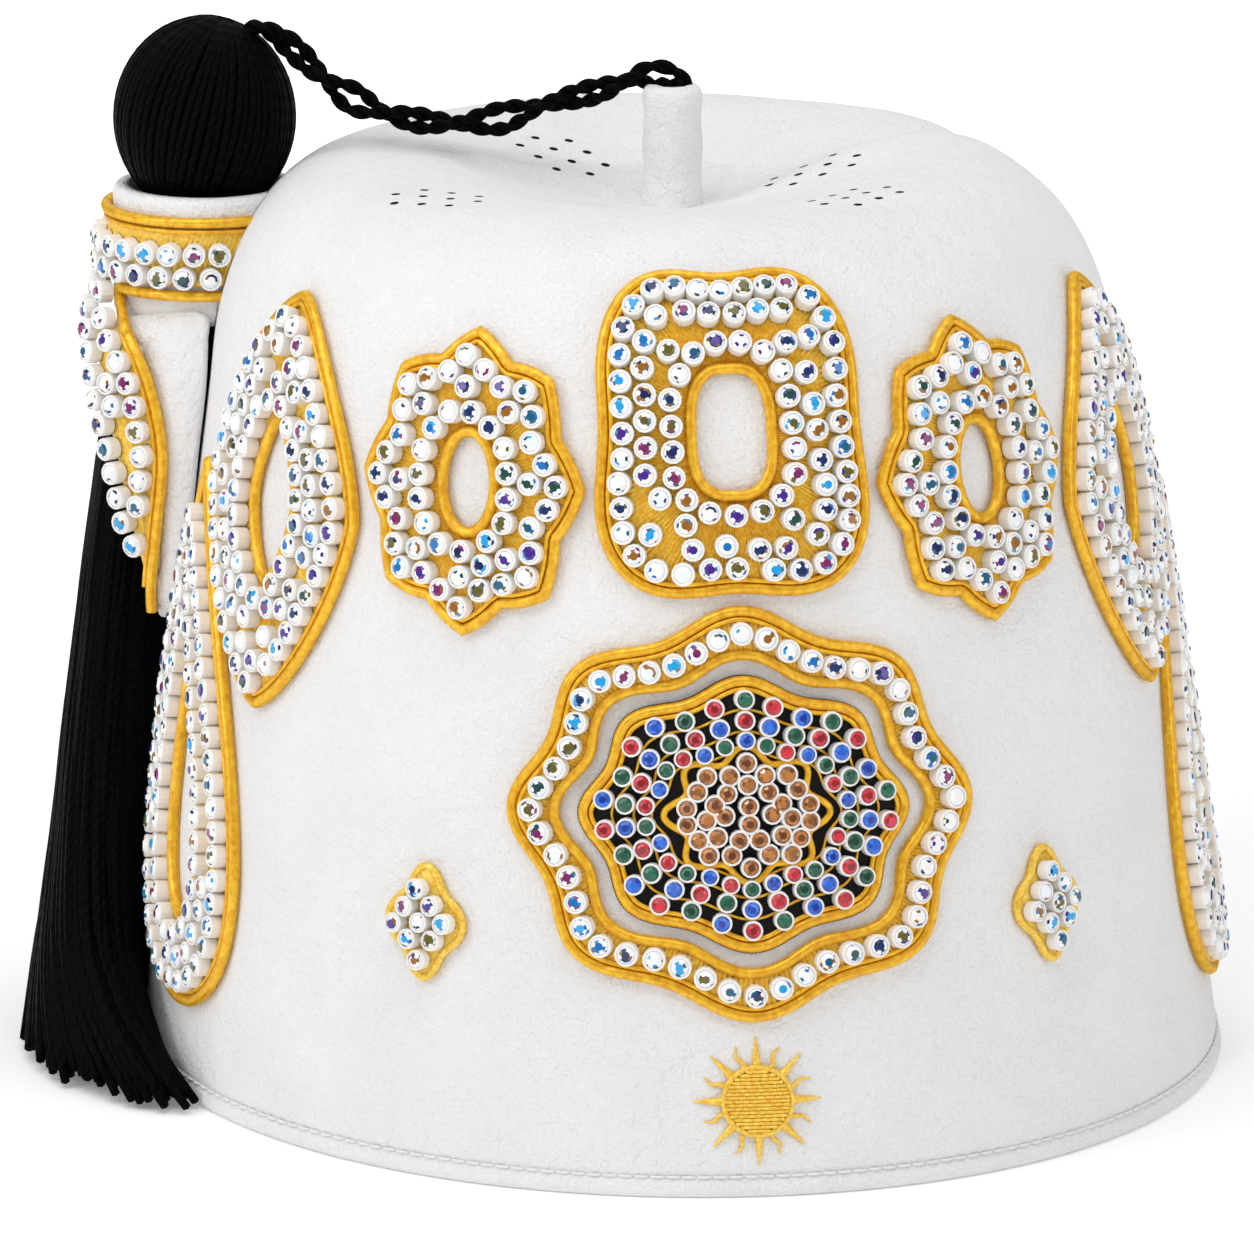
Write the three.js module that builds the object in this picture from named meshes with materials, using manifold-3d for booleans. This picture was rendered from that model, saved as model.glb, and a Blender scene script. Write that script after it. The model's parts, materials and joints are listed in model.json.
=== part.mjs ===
// A white felt fez with a tasselled stem, jewelled appliques and gold cord trim.
// Millimetres, +Z up. The hat stands on its rim, and its front faces -Y.
import * as THREE from "three";
import { mergeVertices } from "three/addons/utils/BufferGeometryUtils.js";
import Module from "manifold-3d";

const wasm = await Module();
wasm.setup();

// Crown: an oval felt pot, widest at the rim, with a soft shoulder and a dished top
const RIM_HALF_WIDTH = 88.5;
const OVAL = 1.14;
const CROWN_HEIGHT = 147.7;
const SIDE_TOP_RADIUS = 74;
const SIDE_TOP_HEIGHT = 112.7;
const SIDE_BULGE = 0.8;
const RIDGE_RADIUS = 45.4;
const SHOULDER_POWER = 2.6;
const DISH_DEPTH = 7.5;
const LEAN = -3.3;
const FELT = 2;
const SEAT = 0.3;
const CROWN_STEPS = 44;
const SIDE_ROWS = 4;
const SHOULDER_ROWS = 6;
const DISH_ROWS = 3;
const INNER_SIDE_ROWS = 2;
const INNER_SHOULDER_ROWS = 4;

// Rim: the felt edge is rolled a little outwards, and a leather sweatband lies inside
const ROLL_HEIGHT = 4;
const ROLL_OUT = 0.5;
const BAND_HEIGHT = 32;
const BAND_THICKNESS = 1.2;
const BAND_LIFT = 0.5;

// Vents: small holes punched through the top in four groups of short rows
const VENT_RADIUS = 0.75;
const VENT_PITCH = 5;
const VENT_ROWS = [3, 4, 3];
const VENT_GROUPS = [
  { x: -43, y: -27, turn: -35 },
  { x: -17, y: 21, turn: -60 },
  { x: 24, y: -33, turn: 40 },
  { x: 22, y: 3, turn: 10 },
];
const PUNCH_LENGTH = 24;

// Stem: the felt-covered post in the middle of the top
const STEM_RADIUS = 4.8;
const STEM_HEIGHT = 19.6;
const STEM_ROUNDING = 1.4;
const STEM_X = -1.5;

// Appliques: gold pads with raised cord edges, and the fields of stones on them
const PAD_LIFT = 1.2;
const CORD_WIDTH = 2.3;
const CORD_LIFT = 2.3;
const STONE_LIFT = 4.3;
const STROKE = 16.6;
const FRAME_STROKE = 8.8;

// Tassel and its holder on the left side, a little behind the middle
const TASSEL_AZIMUTH = -109.6;
const TASSEL_REACH = 80;
const BALL_RADIUS = 15;
const BALL_HALF_HEIGHT = 16.7;
const BALL_HEIGHT = 151;
const HOLDER_RADIUS = 14.8;
const HOLDER_SWELL = 0.4;
const HOLDER_BOTTOM = 119;
const HOLDER_TOP = 140;
const HOLDER_FELT = 2;
const HOLDER_BANDS = {
  upperCord: { inner: 0.7, outer: 2.7, bottom: 135.6, top: 138 },
  lowerCord: { inner: 0.7, outer: 2.7, bottom: 123, top: 125.4 },
  stones: { inner: 0.7, outer: 4, bottom: 126, top: 135 },
};
const NECK_RADIUS = 12.2;
const NECK_RISE = 20;
const SKIRT_LOCKS = 14;
const SKIRT_LOCK_DEPTH = 0.09;
const SKIRT_GAP = 0.7;
const SKIRT_UNEVEN_ENDS = 1.6;
const SKIRT_SECTIONS = [
  { z: 1.5, thick: 19.8, halfWidth: 38, forward: 24, hug: 0.0042 },
  { z: 8, thick: 19.2, halfWidth: 32, forward: 19.5, hug: 0.004 },
  { z: 20, thick: 18.6, halfWidth: 26, forward: 12.5, hug: 0.001 },
  { z: 34, thick: 18, halfWidth: 22.5, forward: 8, hug: -0.0006 },
  { z: 60, thick: 18.2, halfWidth: 19, forward: 0, hug: -0.0006 },
  { z: 88, thick: 18.6, halfWidth: 16, forward: -4.5, hug: -0.0006 },
  { z: 108, thick: 18, halfWidth: 14, forward: -4, hug: -0.0006 },
  { z: 118.6, thick: 17.6, halfWidth: 12.2, forward: -1, hug: -0.0006 },
];

// Tongue: the pointed felt leaf that hangs from the holder beside the crown. Each row gives how
// far its left edge, its gold cord and its right edge lie from its spine.
const TONGUE_TOP = new THREE.Vector3(-87.2, 15.6, 120.4);
const TONGUE_MIDDLE = new THREE.Vector3(-87.6, 7.8, 98);
const TONGUE_TIP = new THREE.Vector3(-83.4, 9.6, 71.4);
const TONGUE_FACING = new THREE.Vector3(-0.62, -0.78, 0).normalize();
const TONGUE_CURL = 0.02;
const TONGUE_TIP_WIDTH = 1.2;
const TONGUE_ROWS = [
  { down: 0, left: -8.6, cord: -1.2, right: 11 },
  { down: 0.24, left: -7.6, cord: 4, right: 10 },
  { down: 0.47, left: -5.2, cord: 5.5, right: 8 },
  { down: 0.7, left: -3.6, cord: 3.1, right: 5.6 },
  { down: 0.9, left: -1.6, cord: 0.3, right: 3.2 },
  { down: 1, left: -0.8, cord: -0.4, right: 0.8 },
];

// Tassel cord: from the stem's top, over the crown's shoulder, to the top of the ball
const CORD_RADIUS = 2.3;
const CORD_ROUTE = [
  [0.4, -0.2, 162.25],
  [-3.1, 0.4, 162.3],
  [-6.5, 1.5, 162.1],
  [-9, 2.6, 160.5],
  [-12.2, 3.9, 158.7],
  [-15.8, 5.3, 157.4],
  [-20, 6.9, 155.9],
  [-24.1, 8.5, 154.3],
  [-28.5, 10.1, 152.8],
  [-33.2, 11.9, 151.8],
  [-38, 13.7, 151.6],
  [-42.7, 15.5, 152],
  [-47.1, 17.2, 152.9],
  [-50.6, 18.5, 154.3],
  [-54.1, 19.9, 156.4],
  [-57.5, 21.2, 159.1],
  [-60.7, 22.4, 162.3],
  [-62.6, 23.1, 164.2],
  [-64.2, 23.7, 165.6],
];

const degrees = THREE.MathUtils.degToRad;

// The crown's half width at a height on its side. Past the side's top the taper runs on,
// and the shoulder turns in from it.
function sideRadius(z) {
  const up = z / SIDE_TOP_HEIGHT;
  const straight = THREE.MathUtils.lerp(RIM_HALF_WIDTH, SIDE_TOP_RADIUS, up);
  return straight + SIDE_BULGE * Math.sin(Math.PI * Math.min(up, 1));
}

// The crown's outline from the rim (0) to the middle of the top (1), as radius and height
const SIDE_END = 0.55;
const SHOULDER_END = 0.8;

class CrownOutline extends THREE.Curve {
  getPoint(t, target = new THREE.Vector2()) {
    if (t <= SIDE_END) {
      const z = (SIDE_TOP_HEIGHT * t) / SIDE_END;
      return target.set(sideRadius(z), z);
    }
    if (t <= SHOULDER_END) {
      const turn = ((t - SIDE_END) / (SHOULDER_END - SIDE_END)) * (Math.PI / 2);
      const power = 2 / SHOULDER_POWER;
      const inward = Math.cos(turn) ** power;
      const upward = Math.sin(turn) ** power;
      const z = THREE.MathUtils.lerp(SIDE_TOP_HEIGHT, CROWN_HEIGHT, upward);
      return target.set(THREE.MathUtils.lerp(RIDGE_RADIUS, sideRadius(z), inward), z);
    }
    const across = (1 - t) / (1 - SHOULDER_END);
    const sink = 0.5 + 0.5 * Math.cos(Math.PI * across);
    return target.set(RIDGE_RADIUS * across, CROWN_HEIGHT - DISH_DEPTH * sink);
  }
}

const outline = new CrownOutline();
outline.arcLengthDivisions = 600;
const outlineLength = outline.getLength();

// A point on the crown: azimuth from the front towards +X, distance up the felt from the rim,
// and lift off the felt along its normal
function onCrown(azimuth, up, lift) {
  const place = (a, s) => {
    const p = outline.getPointAt(THREE.MathUtils.clamp(s / outlineLength, 0, 1));
    const angle = degrees(a);
    return new THREE.Vector3(
      p.x * Math.sin(angle) + (LEAN * p.y) / CROWN_HEIGHT,
      -p.x * OVAL * Math.cos(angle),
      p.y,
    );
  };
  const along = place(azimuth + 0.5, up).sub(place(azimuth - 0.5, up));
  const rising = place(azimuth, up + 0.4).sub(place(azimuth, Math.max(up - 0.4, 0)));
  const normal = along.cross(rising).normalize();
  return place(azimuth, up).addScaledVector(normal, lift);
}

// Millimetres along the felt for one degree of azimuth
function girthPerDegree(azimuth, up) {
  return onCrown(azimuth + 1, up, 0).distanceTo(onCrown(azimuth - 1, up, 0)) / 2;
}

// A lathe ring or disc, given as points of (reach, lift), is laid on the crown by its outline:
// reach runs from 0 on the inner edge, or the middle, to 1 on the outer edge. The lathe's sense
// of turning is mirrored on the way, so its section is reversed to keep the faces outwards.
function layOnCrown(section, steps, place, shape) {
  const ring = new THREE.LatheGeometry([...section].reverse(), steps);
  const at = ring.getAttribute("position");
  const perDegree = girthPerDegree(place.azimuth, place.up);
  for (let i = 0; i < at.count; i += 1) {
    const turn = Math.atan2(at.getX(i), at.getZ(i));
    const reach = Math.hypot(at.getX(i), at.getZ(i)) - (shape.open ? 1 : 0);
    const spot = shape.at(turn, reach);
    const point = onCrown(place.azimuth + spot.x / perDegree, place.up + spot.y, at.getY(i));
    at.setXYZ(i, point.x, point.y, point.z);
  }
  return ring;
}

// Outlines: each gives a point, across and up, for a turn about the middle and a reach
function between(inner, outer) {
  return {
    open: true,
    at: (turn, reach) => inner(turn).lerp(outer(turn), reach),
  };
}

function filled(outer) {
  return { open: false, at: (turn, reach) => outer(turn).multiplyScalar(reach) };
}

// An oval whose edge swells into lobes
function lobed(halfWidth, halfHeight, lobes, swell, start = 0) {
  return (turn) => {
    const grow = (1 + swell * Math.cos(lobes * (turn - start))) / (1 + swell);
    return new THREE.Vector2(halfWidth * Math.sin(turn), halfHeight * Math.cos(turn)).multiplyScalar(grow);
  };
}

// An oval with straight-sided points
function starred(halfWidth, halfHeight, points, notch) {
  return (turn) => {
    const wave = Math.abs(((((turn * points) / Math.PI) % 2) + 2) % 2 - 1);
    const grow = THREE.MathUtils.lerp(notch, 1, wave);
    return new THREE.Vector2(halfWidth * Math.sin(turn), halfHeight * Math.cos(turn)).multiplyScalar(grow);
  };
}

// A lozenge with softly bowed sides
function lozenge(halfWidth, halfHeight, power) {
  const bow = (value) => Math.sign(value) * Math.abs(value) ** (2 / power);
  return (turn) => new THREE.Vector2(halfWidth * bow(Math.sin(turn)), halfHeight * bow(Math.cos(turn)));
}

// A drop with its point up, leaning sideways as it rises
function drop(halfWidth, halfHeight, middle, tilt) {
  return (turn) => {
    const belly = Math.abs(Math.sin(turn / 2)) ** 1.2;
    const y = middle + halfHeight * Math.cos(turn);
    return new THREE.Vector2((halfWidth / 0.77) * Math.sin(turn) * belly + tilt * y, y);
  };
}

// Sections, as points of (reach, lift), each closed on itself
function loop(points, shift) {
  const corners = points.map(([reach, lift]) => new THREE.Vector2(reach + shift, lift));
  return [...corners, corners[0].clone()];
}

function padRingSection(stroke) {
  const edge = CORD_WIDTH / stroke;
  return loop(
    [
      [0, SEAT],
      [1 / 3, SEAT],
      [2 / 3, SEAT],
      [1, SEAT],
      [1, CORD_LIFT],
      [1 - edge, PAD_LIFT],
      [edge, PAD_LIFT],
      [0, CORD_LIFT],
    ],
    1,
  );
}

function stoneRingSection(stroke) {
  const edge = (CORD_WIDTH + 0.5) / stroke;
  return loop(
    [
      [edge, PAD_LIFT + 0.6],
      [1 - edge, PAD_LIFT + 0.6],
      [1 - edge, STONE_LIFT],
      [edge, STONE_LIFT],
    ],
    1,
  );
}

// Solids: three.js geometry to manifold-3d and back
function toSolid(geometry) {
  const bare = geometry.clone();
  bare.deleteAttribute("normal");
  bare.deleteAttribute("uv");
  const merged = mergeVertices(bare, 1e-3);
  return new wasm.Manifold(
    new wasm.Mesh({
      numProp: 3,
      vertProperties: new Float32Array(merged.getAttribute("position").array),
      triVerts: new Uint32Array(merged.index.array),
    }),
  );
}

function toGeometry(solid) {
  const mesh = solid.getMesh();
  const geometry = new THREE.BufferGeometry();
  geometry.setAttribute("position", new THREE.BufferAttribute(mesh.vertProperties, 3));
  geometry.setIndex(new THREE.BufferAttribute(mesh.triVerts, 1));
  return geometry;
}

// Crown
function crownSection(lift, sideRows, shoulderRows, dishRows) {
  const stops = [];
  const addStops = (from, to, count) => {
    for (let i = 1; i <= count; i += 1) stops.push(THREE.MathUtils.lerp(from, to, i / count));
  };
  addStops(0, SIDE_END, sideRows);
  addStops(SIDE_END, SHOULDER_END, shoulderRows);
  addStops(SHOULDER_END, 1, dishRows);
  return stops.map((t) => {
    const spot = outline.getPoint(t);
    if (t === 1) return new THREE.Vector2(0, spot.y + lift);
    const slope = outline.getTangent(t);
    return new THREE.Vector2(spot.x + slope.y * lift, spot.y - slope.x * lift);
  });
}

// The lathe turns about its own Y axis: this stands it up, makes it oval and leans it
function ovalLathe(section, steps) {
  const turned = new THREE.LatheGeometry(section, steps);
  turned.rotateX(Math.PI / 2);
  const at = turned.getAttribute("position");
  for (let i = 0; i < at.count; i += 1) {
    at.setXYZ(i, at.getX(i) + (LEAN * at.getZ(i)) / CROWN_HEIGHT, at.getY(i) * OVAL, at.getZ(i));
  }
  return turned;
}

function makeCrown() {
  const rim = [
    new THREE.Vector2(RIM_HALF_WIDTH - FELT, 0),
    new THREE.Vector2(RIM_HALF_WIDTH - 0.4, 0),
    new THREE.Vector2(RIM_HALF_WIDTH + ROLL_OUT, 1),
    new THREE.Vector2(sideRadius(ROLL_HEIGHT) - 0.05, ROLL_HEIGHT),
  ];
  const shell = ovalLathe(
    [
      ...crownSection(-FELT, INNER_SIDE_ROWS, INNER_SHOULDER_ROWS, DISH_ROWS).reverse(),
      ...rim,
      ...crownSection(0, SIDE_ROWS, SHOULDER_ROWS, DISH_ROWS),
    ],
    CROWN_STEPS,
  );
  let felt = toSolid(shell);
  for (const group of VENT_GROUPS) {
    const turn = degrees(group.turn);
    for (const [across, out] of ventPattern()) {
      const punch = new THREE.CylinderGeometry(VENT_RADIUS, VENT_RADIUS, PUNCH_LENGTH, 4);
      punch.rotateX(Math.PI / 2);
      punch.translate(
        group.x + across * Math.cos(turn) - out * Math.sin(turn),
        group.y + across * Math.sin(turn) + out * Math.cos(turn),
        CROWN_HEIGHT - DISH_DEPTH / 2,
      );
      felt = felt.subtract(toSolid(punch));
    }
  }
  return toGeometry(felt);
}

// A group's holes, in short staggered rows
function ventPattern() {
  return VENT_ROWS.flatMap((count, row) =>
    Array.from({ length: count }, (_, i) => [
      (i - (count - 1) / 2) * VENT_PITCH,
      (row - (VENT_ROWS.length - 1) / 2) * VENT_PITCH,
    ]),
  );
}

function makeSweatband() {
  const outer = (z) => sideRadius(z) - FELT - SEAT - 0.2;
  const section = loop(
    [
      [outer(BAND_LIFT) - BAND_THICKNESS, BAND_LIFT],
      [outer(BAND_LIFT), BAND_LIFT],
      [outer(BAND_HEIGHT), BAND_HEIGHT],
      [outer(BAND_HEIGHT) - BAND_THICKNESS, BAND_HEIGHT],
    ],
    0,
  );
  return ovalLathe(section, CROWN_STEPS);
}

// Tassel
const tasselFoot = new THREE.Vector2(
  TASSEL_REACH * Math.sin(degrees(TASSEL_AZIMUTH)),
  -TASSEL_REACH * Math.cos(degrees(TASSEL_AZIMUTH)),
);

// The space that the crown fills, grown by the seat gap: what lies against the crown is cut by it
const crownRoom = toSolid(
  ovalLathe(
    [
      new THREE.Vector2(0, -1),
      new THREE.Vector2(RIM_HALF_WIDTH + ROLL_OUT + SEAT, -1),
      ...crownSection(SEAT + 0.1, SIDE_ROWS, SHOULDER_ROWS, DISH_ROWS),
    ],
    CROWN_STEPS,
  ),
);

function clearOfCrown(geometry) {
  return toGeometry(toSolid(geometry).subtract(crownRoom));
}

// The stem's foot is cut to the dished top, which it stands on
function makeStem() {
  const foot = CROWN_HEIGHT - DISH_DEPTH;
  const top = foot + STEM_HEIGHT;
  const section = [
    new THREE.Vector2(0, foot),
    new THREE.Vector2(STEM_RADIUS, foot),
    new THREE.Vector2(STEM_RADIUS, top - STEM_ROUNDING),
    new THREE.Vector2(STEM_RADIUS - STEM_ROUNDING, top),
    new THREE.Vector2(0, top),
  ];
  const post = new THREE.LatheGeometry(section, 16);
  post.rotateX(Math.PI / 2);
  post.translate(STEM_X, 0, 0);
  return clearOfCrown(post);
}

// The ball, or with a margin the room that it takes
function ballShape(margin) {
  const ball = new THREE.SphereGeometry(1, 16, 9);
  ball.rotateX(Math.PI / 2);
  ball.scale(BALL_RADIUS + margin, BALL_RADIUS + margin, BALL_HALF_HEIGHT + margin);
  ball.translate(tasselFoot.x, tasselFoot.y, BALL_HEIGHT);
  return ball;
}

function makeHolder() {
  const section = loop(
    [
      [HOLDER_RADIUS - HOLDER_FELT, HOLDER_BOTTOM],
      [HOLDER_RADIUS, HOLDER_BOTTOM],
      [HOLDER_RADIUS + HOLDER_SWELL, (HOLDER_BOTTOM + HOLDER_TOP) / 2],
      [HOLDER_RADIUS, HOLDER_TOP],
      [HOLDER_RADIUS - HOLDER_FELT, HOLDER_TOP],
    ],
    0,
  );
  const strap = new THREE.LatheGeometry(section, 24);
  strap.rotateX(Math.PI / 2);
  strap.translate(tasselFoot.x, tasselFoot.y, 0);
  return clearOfCrown(strap);
}

// A band round the holder, measured outwards from the holder's radius
function holderBand({ inner, outer, bottom, top }) {
  const section = loop(
    [
      [HOLDER_RADIUS + inner, bottom],
      [HOLDER_RADIUS + outer, bottom],
      [HOLDER_RADIUS + outer, top],
      [HOLDER_RADIUS + inner, top],
    ],
    0,
  );
  const band = new THREE.LatheGeometry(section, 24);
  band.rotateX(Math.PI / 2);
  band.translate(tasselFoot.x, tasselFoot.y, 0);
  return clearOfCrown(band);
}

// The skirt: a bundle of locks that hangs along the crown, fused to the neck above it
// Each section is an oval whose ends bend in towards the crown, by its hug
function makeSkirt() {
  const rows = SKIRT_SECTIONS.length - 1;
  const bundle = new THREE.CylinderGeometry(1, 1, 1, SKIRT_LOCKS * 2, rows);
  bundle.rotateX(Math.PI / 2);
  const at = bundle.getAttribute("position");
  const wallAzimuth = THREE.MathUtils.radToDeg(Math.atan2(tasselFoot.x, -tasselFoot.y / OVAL));
  for (let i = 0; i < at.count; i += 1) {
    const row = Math.round((at.getZ(i) + 0.5) * rows);
    const { z, thick, halfWidth, forward, hug } = SKIRT_SECTIONS[row];
    const turn = Math.atan2(at.getY(i), at.getX(i));
    const wave = 1 - SKIRT_LOCK_DEPTH * (0.5 + 0.5 * Math.cos(SKIRT_LOCKS * turn));
    const reach = Math.hypot(at.getX(i), at.getY(i)) * wave;
    const uneven = row === 0 ? SKIRT_UNEVEN_ENDS * (0.5 + 0.5 * Math.cos(5 * turn)) * reach : 0;
    const across = forward - halfWidth * reach * Math.cos(turn);
    const out = SKIRT_GAP + (thick / 2) * (1 + reach * Math.sin(turn));
    const azimuth = wallAzimuth + across / girthPerDegree(wallAzimuth, z);
    const point = onCrown(azimuth, z, 0);
    const away = onCrown(azimuth, z, 1).sub(point).setZ(0).normalize();
    point.addScaledVector(away, out - hug * (across - forward) ** 2).setZ(z + uneven);
    at.setXYZ(i, point.x, point.y, point.z);
  }
  const neck = new THREE.CylinderGeometry(NECK_RADIUS, NECK_RADIUS, NECK_RISE + 4, 20);
  neck.rotateX(Math.PI / 2);
  neck.translate(tasselFoot.x, tasselFoot.y, SKIRT_SECTIONS[rows].z + NECK_RISE / 2 - 2);
  const joined = toSolid(bundle).add(toSolid(neck));
  return toGeometry(joined.subtract(toSolid(ballShape(0.4))).subtract(crownRoom));
}

// Tongue: a leaf along a curve, as felt, as its gold field, or as its stones. Margins are kept
// from the left edge, and from the right edge or the cord.
const tongueSpine = new THREE.QuadraticBezierCurve3(TONGUE_TOP, TONGUE_MIDDLE, TONGUE_TIP);

function tongueRow(down, key) {
  const below = Math.max(TONGUE_ROWS.findIndex((row) => row.down >= down), 1);
  const [a, b] = [TONGUE_ROWS[below - 1], TONGUE_ROWS[below]];
  return THREE.MathUtils.mapLinear(down, a.down, b.down, a[key], b[key]);
}

function tongueLeaf({ rightKey, margin, low, high, startAt, endAt }) {
  const rows = 8;
  const leaf = new THREE.BoxGeometry(2, 1, 1, 2, rows, 1);
  const at = leaf.getAttribute("position");
  for (let i = 0; i < at.count; i += 1) {
    const down = THREE.MathUtils.lerp(startAt, endAt, 0.5 - at.getY(i));
    const left = tongueRow(down, "left") + margin;
    const right = Math.max(tongueRow(down, rightKey) - margin, left + TONGUE_TIP_WIDTH);
    const across = THREE.MathUtils.lerp(left, right, (at.getX(i) + 1) / 2);
    const along = tongueSpine.getTangent(down);
    const facing = TONGUE_FACING.clone().addScaledVector(along, -along.dot(TONGUE_FACING)).normalize();
    const side = facing.clone().cross(along);
    const lift = THREE.MathUtils.lerp(low, high, at.getZ(i) + 0.5) - TONGUE_CURL * across ** 2;
    const point = tongueSpine.getPoint(down).addScaledVector(side, across).addScaledVector(facing, lift);
    at.setXYZ(i, point.x, point.y, point.z);
  }
  return leaf;
}

function makeCord() {
  const route = new THREE.CatmullRomCurve3(CORD_ROUTE.map((p) => new THREE.Vector3(...p)));
  const section = new THREE.Shape();
  section.absarc(0, 0, CORD_RADIUS, 0, Math.PI * 2);
  return new THREE.ExtrudeGeometry(section, {
    steps: 16,
    curveSegments: 4,
    bevelEnabled: false,
    extrudePath: route,
  });
}

// Materials
function material(color, roughness, metalness = 0) {
  return () => new THREE.MeshStandardMaterial({ color, roughness, metalness });
}

const whiteFelt = material(0xeeeeec, 0.95);
const blackYarn = material(0x0c0c0d, 0.9);
const blackFelt = material(0x121212, 0.95);
const goldThread = material(0xd99a22, 0.45, 0.6);
const clearStone = material(0xe6ecf2, 0.15);
const topazStone = material(0xb4691c, 0.15);
const mixedStone = material(0x1e6a8c, 0.15);
const leather = material(0x161412, 0.6);

// Assembly
const fez = new THREE.Group();

function addPiece(parent, name, geometry, makeMaterial) {
  const mesh = new THREE.Mesh(geometry, makeMaterial());
  mesh.name = name;
  parent.add(mesh);
  return mesh;
}

const hat = new THREE.Group();
addPiece(hat, "crown", makeCrown(), whiteFelt);
addPiece(hat, "sweatband", makeSweatband(), leather);
addPiece(hat, "stem", makeStem(), whiteFelt);
fez.add(hat);

// Jewelled motifs round the front, each a gold pad and a field of stones
const MOTIFS = [
  {
    name: "centre_quatrefoil",
    place: { azimuth: 0, up: 121 },
    shape: between(lobed(6, 10, 4, 0.06, Math.PI / 4), lobed(25.5, 31, 4, 0.1, Math.PI / 4)),
    steps: 28,
  },
  ...[-1, 1].map((side) => ({
    name: side < 0 ? "left_star" : "right_star",
    place: { azimuth: 32.5 * side, up: 111.5 },
    shape: between(lobed(3.6, 7, 8, 0), starred(20, 24.5, 8, 0.86)),
    steps: 32,
  })),
  ...[-1, 1].map((side) => ({
    name: side < 0 ? "left_lozenge" : "right_lozenge",
    place: { azimuth: 63 * side, up: 102 },
    shape: between(lozenge(5.5, 12, 1.45), lozenge(22.5, 34, 1.45)),
    steps: 24,
  })),
  ...[-1, 1].map((side) => ({
    name: side < 0 ? "left_drop" : "right_drop",
    place: { azimuth: 79 * side, up: 60 },
    shape: between(drop(6.5, 21, -9, 0.15 * side), drop(22.5, 45, 0, 0.15 * side)),
    steps: 24,
  })),
];

const trim = new THREE.Group();
for (const motif of MOTIFS) {
  const pad = layOnCrown(padRingSection(STROKE), motif.steps, motif.place, motif.shape);
  const stones = layOnCrown(stoneRingSection(STROKE), motif.steps, motif.place, motif.shape);
  addPiece(trim, `${motif.name}_pad`, pad, goldThread);
  addPiece(trim, `${motif.name}_stones`, stones, clearStone);
}

// The middle: a flower medallion on black felt inside a closed eight-lobed frame
const MIDDLE = { azimuth: 0, up: 61 };
const FRAME_OUTLINE = between(
  lobed(38 - FRAME_STROKE, 33 - FRAME_STROKE, 8, 0.06),
  lobed(38, 33, 8, 0.05),
);
const framePad = layOnCrown(padRingSection(FRAME_STROKE), 32, MIDDLE, FRAME_OUTLINE);
const frameStones = layOnCrown(stoneRingSection(FRAME_STROKE), 32, MIDDLE, FRAME_OUTLINE);
addPiece(trim, "frame_pad", framePad, goldThread);
addPiece(trim, "frame_stones", frameStones, clearStone);

const MEDALLION_EDGE = lobed(26.5, 22, 8, 0.05);
const MEDALLION_HEART = lobed(13, 10.8, 8, 0.12);

function disc(points) {
  return points.map(([reach, lift]) => new THREE.Vector2(reach, lift));
}

const groundSection = disc([
  [0, SEAT],
  [0.35, SEAT],
  [0.7, SEAT],
  [1, SEAT],
  [1, CORD_LIFT],
  [0.9, PAD_LIFT],
  [0.6, PAD_LIFT],
  [0.3, PAD_LIFT],
  [0, PAD_LIFT],
]);
const ground = layOnCrown(groundSection, 32, MIDDLE, filled(MEDALLION_EDGE));
addPiece(trim, "medallion_ground", ground, blackFelt);
const heartSection = disc([
  [0, PAD_LIFT + 0.6],
  [0.5, PAD_LIFT + 0.6],
  [1, PAD_LIFT + 0.6],
  [1, STONE_LIFT - 0.6],
  [0.5, STONE_LIFT],
  [0, STONE_LIFT],
]);
addPiece(
  trim,
  "medallion_heart_stones",
  layOnCrown(heartSection, 32, MIDDLE, filled(MEDALLION_HEART)),
  topazStone,
);
const petalShape = between(lobed(14.2, 11.9, 8, 0.12), lobed(24.6, 20.4, 8, 0.05));
const petalSection = loop(
  [
    [0, PAD_LIFT + 0.6],
    [0.95, PAD_LIFT + 0.6],
    [0.95, STONE_LIFT - 0.6],
    [0, STONE_LIFT - 0.6],
  ],
  1,
);
addPiece(trim, "medallion_petal_stones", layOnCrown(petalSection, 32, MIDDLE, petalShape), mixedStone);

// The sunburst below, a raised disc with sixteen rays
const sunSection = disc([
  [0, SEAT],
  [1, SEAT],
  [1, 0.9],
  [0.5, 1],
  [0.5, 1.6],
  [0, 1.6],
]);
addPiece(
  trim,
  "sunburst",
  layOnCrown(sunSection, 32, { azimuth: 0, up: 15.5 }, filled(starred(10.3, 10.3, 16, 0.66))),
  goldThread,
);

// Small motifs beside the frame
for (const side of [-1, 1]) {
  const section = disc([
    [0, SEAT],
    [1, SEAT],
    [1, CORD_LIFT],
    [0.72, PAD_LIFT + 0.3],
    [0.72, STONE_LIFT],
    [0, STONE_LIFT],
  ]);
  addPiece(
    trim,
    side < 0 ? "left_small_flower" : "right_small_flower",
    layOnCrown(section, 16, { azimuth: 36 * side, up: 41 }, filled(lobed(7.6, 9.6, 4, 0.14))),
    clearStone,
  );
}
fez.add(trim);

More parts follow.
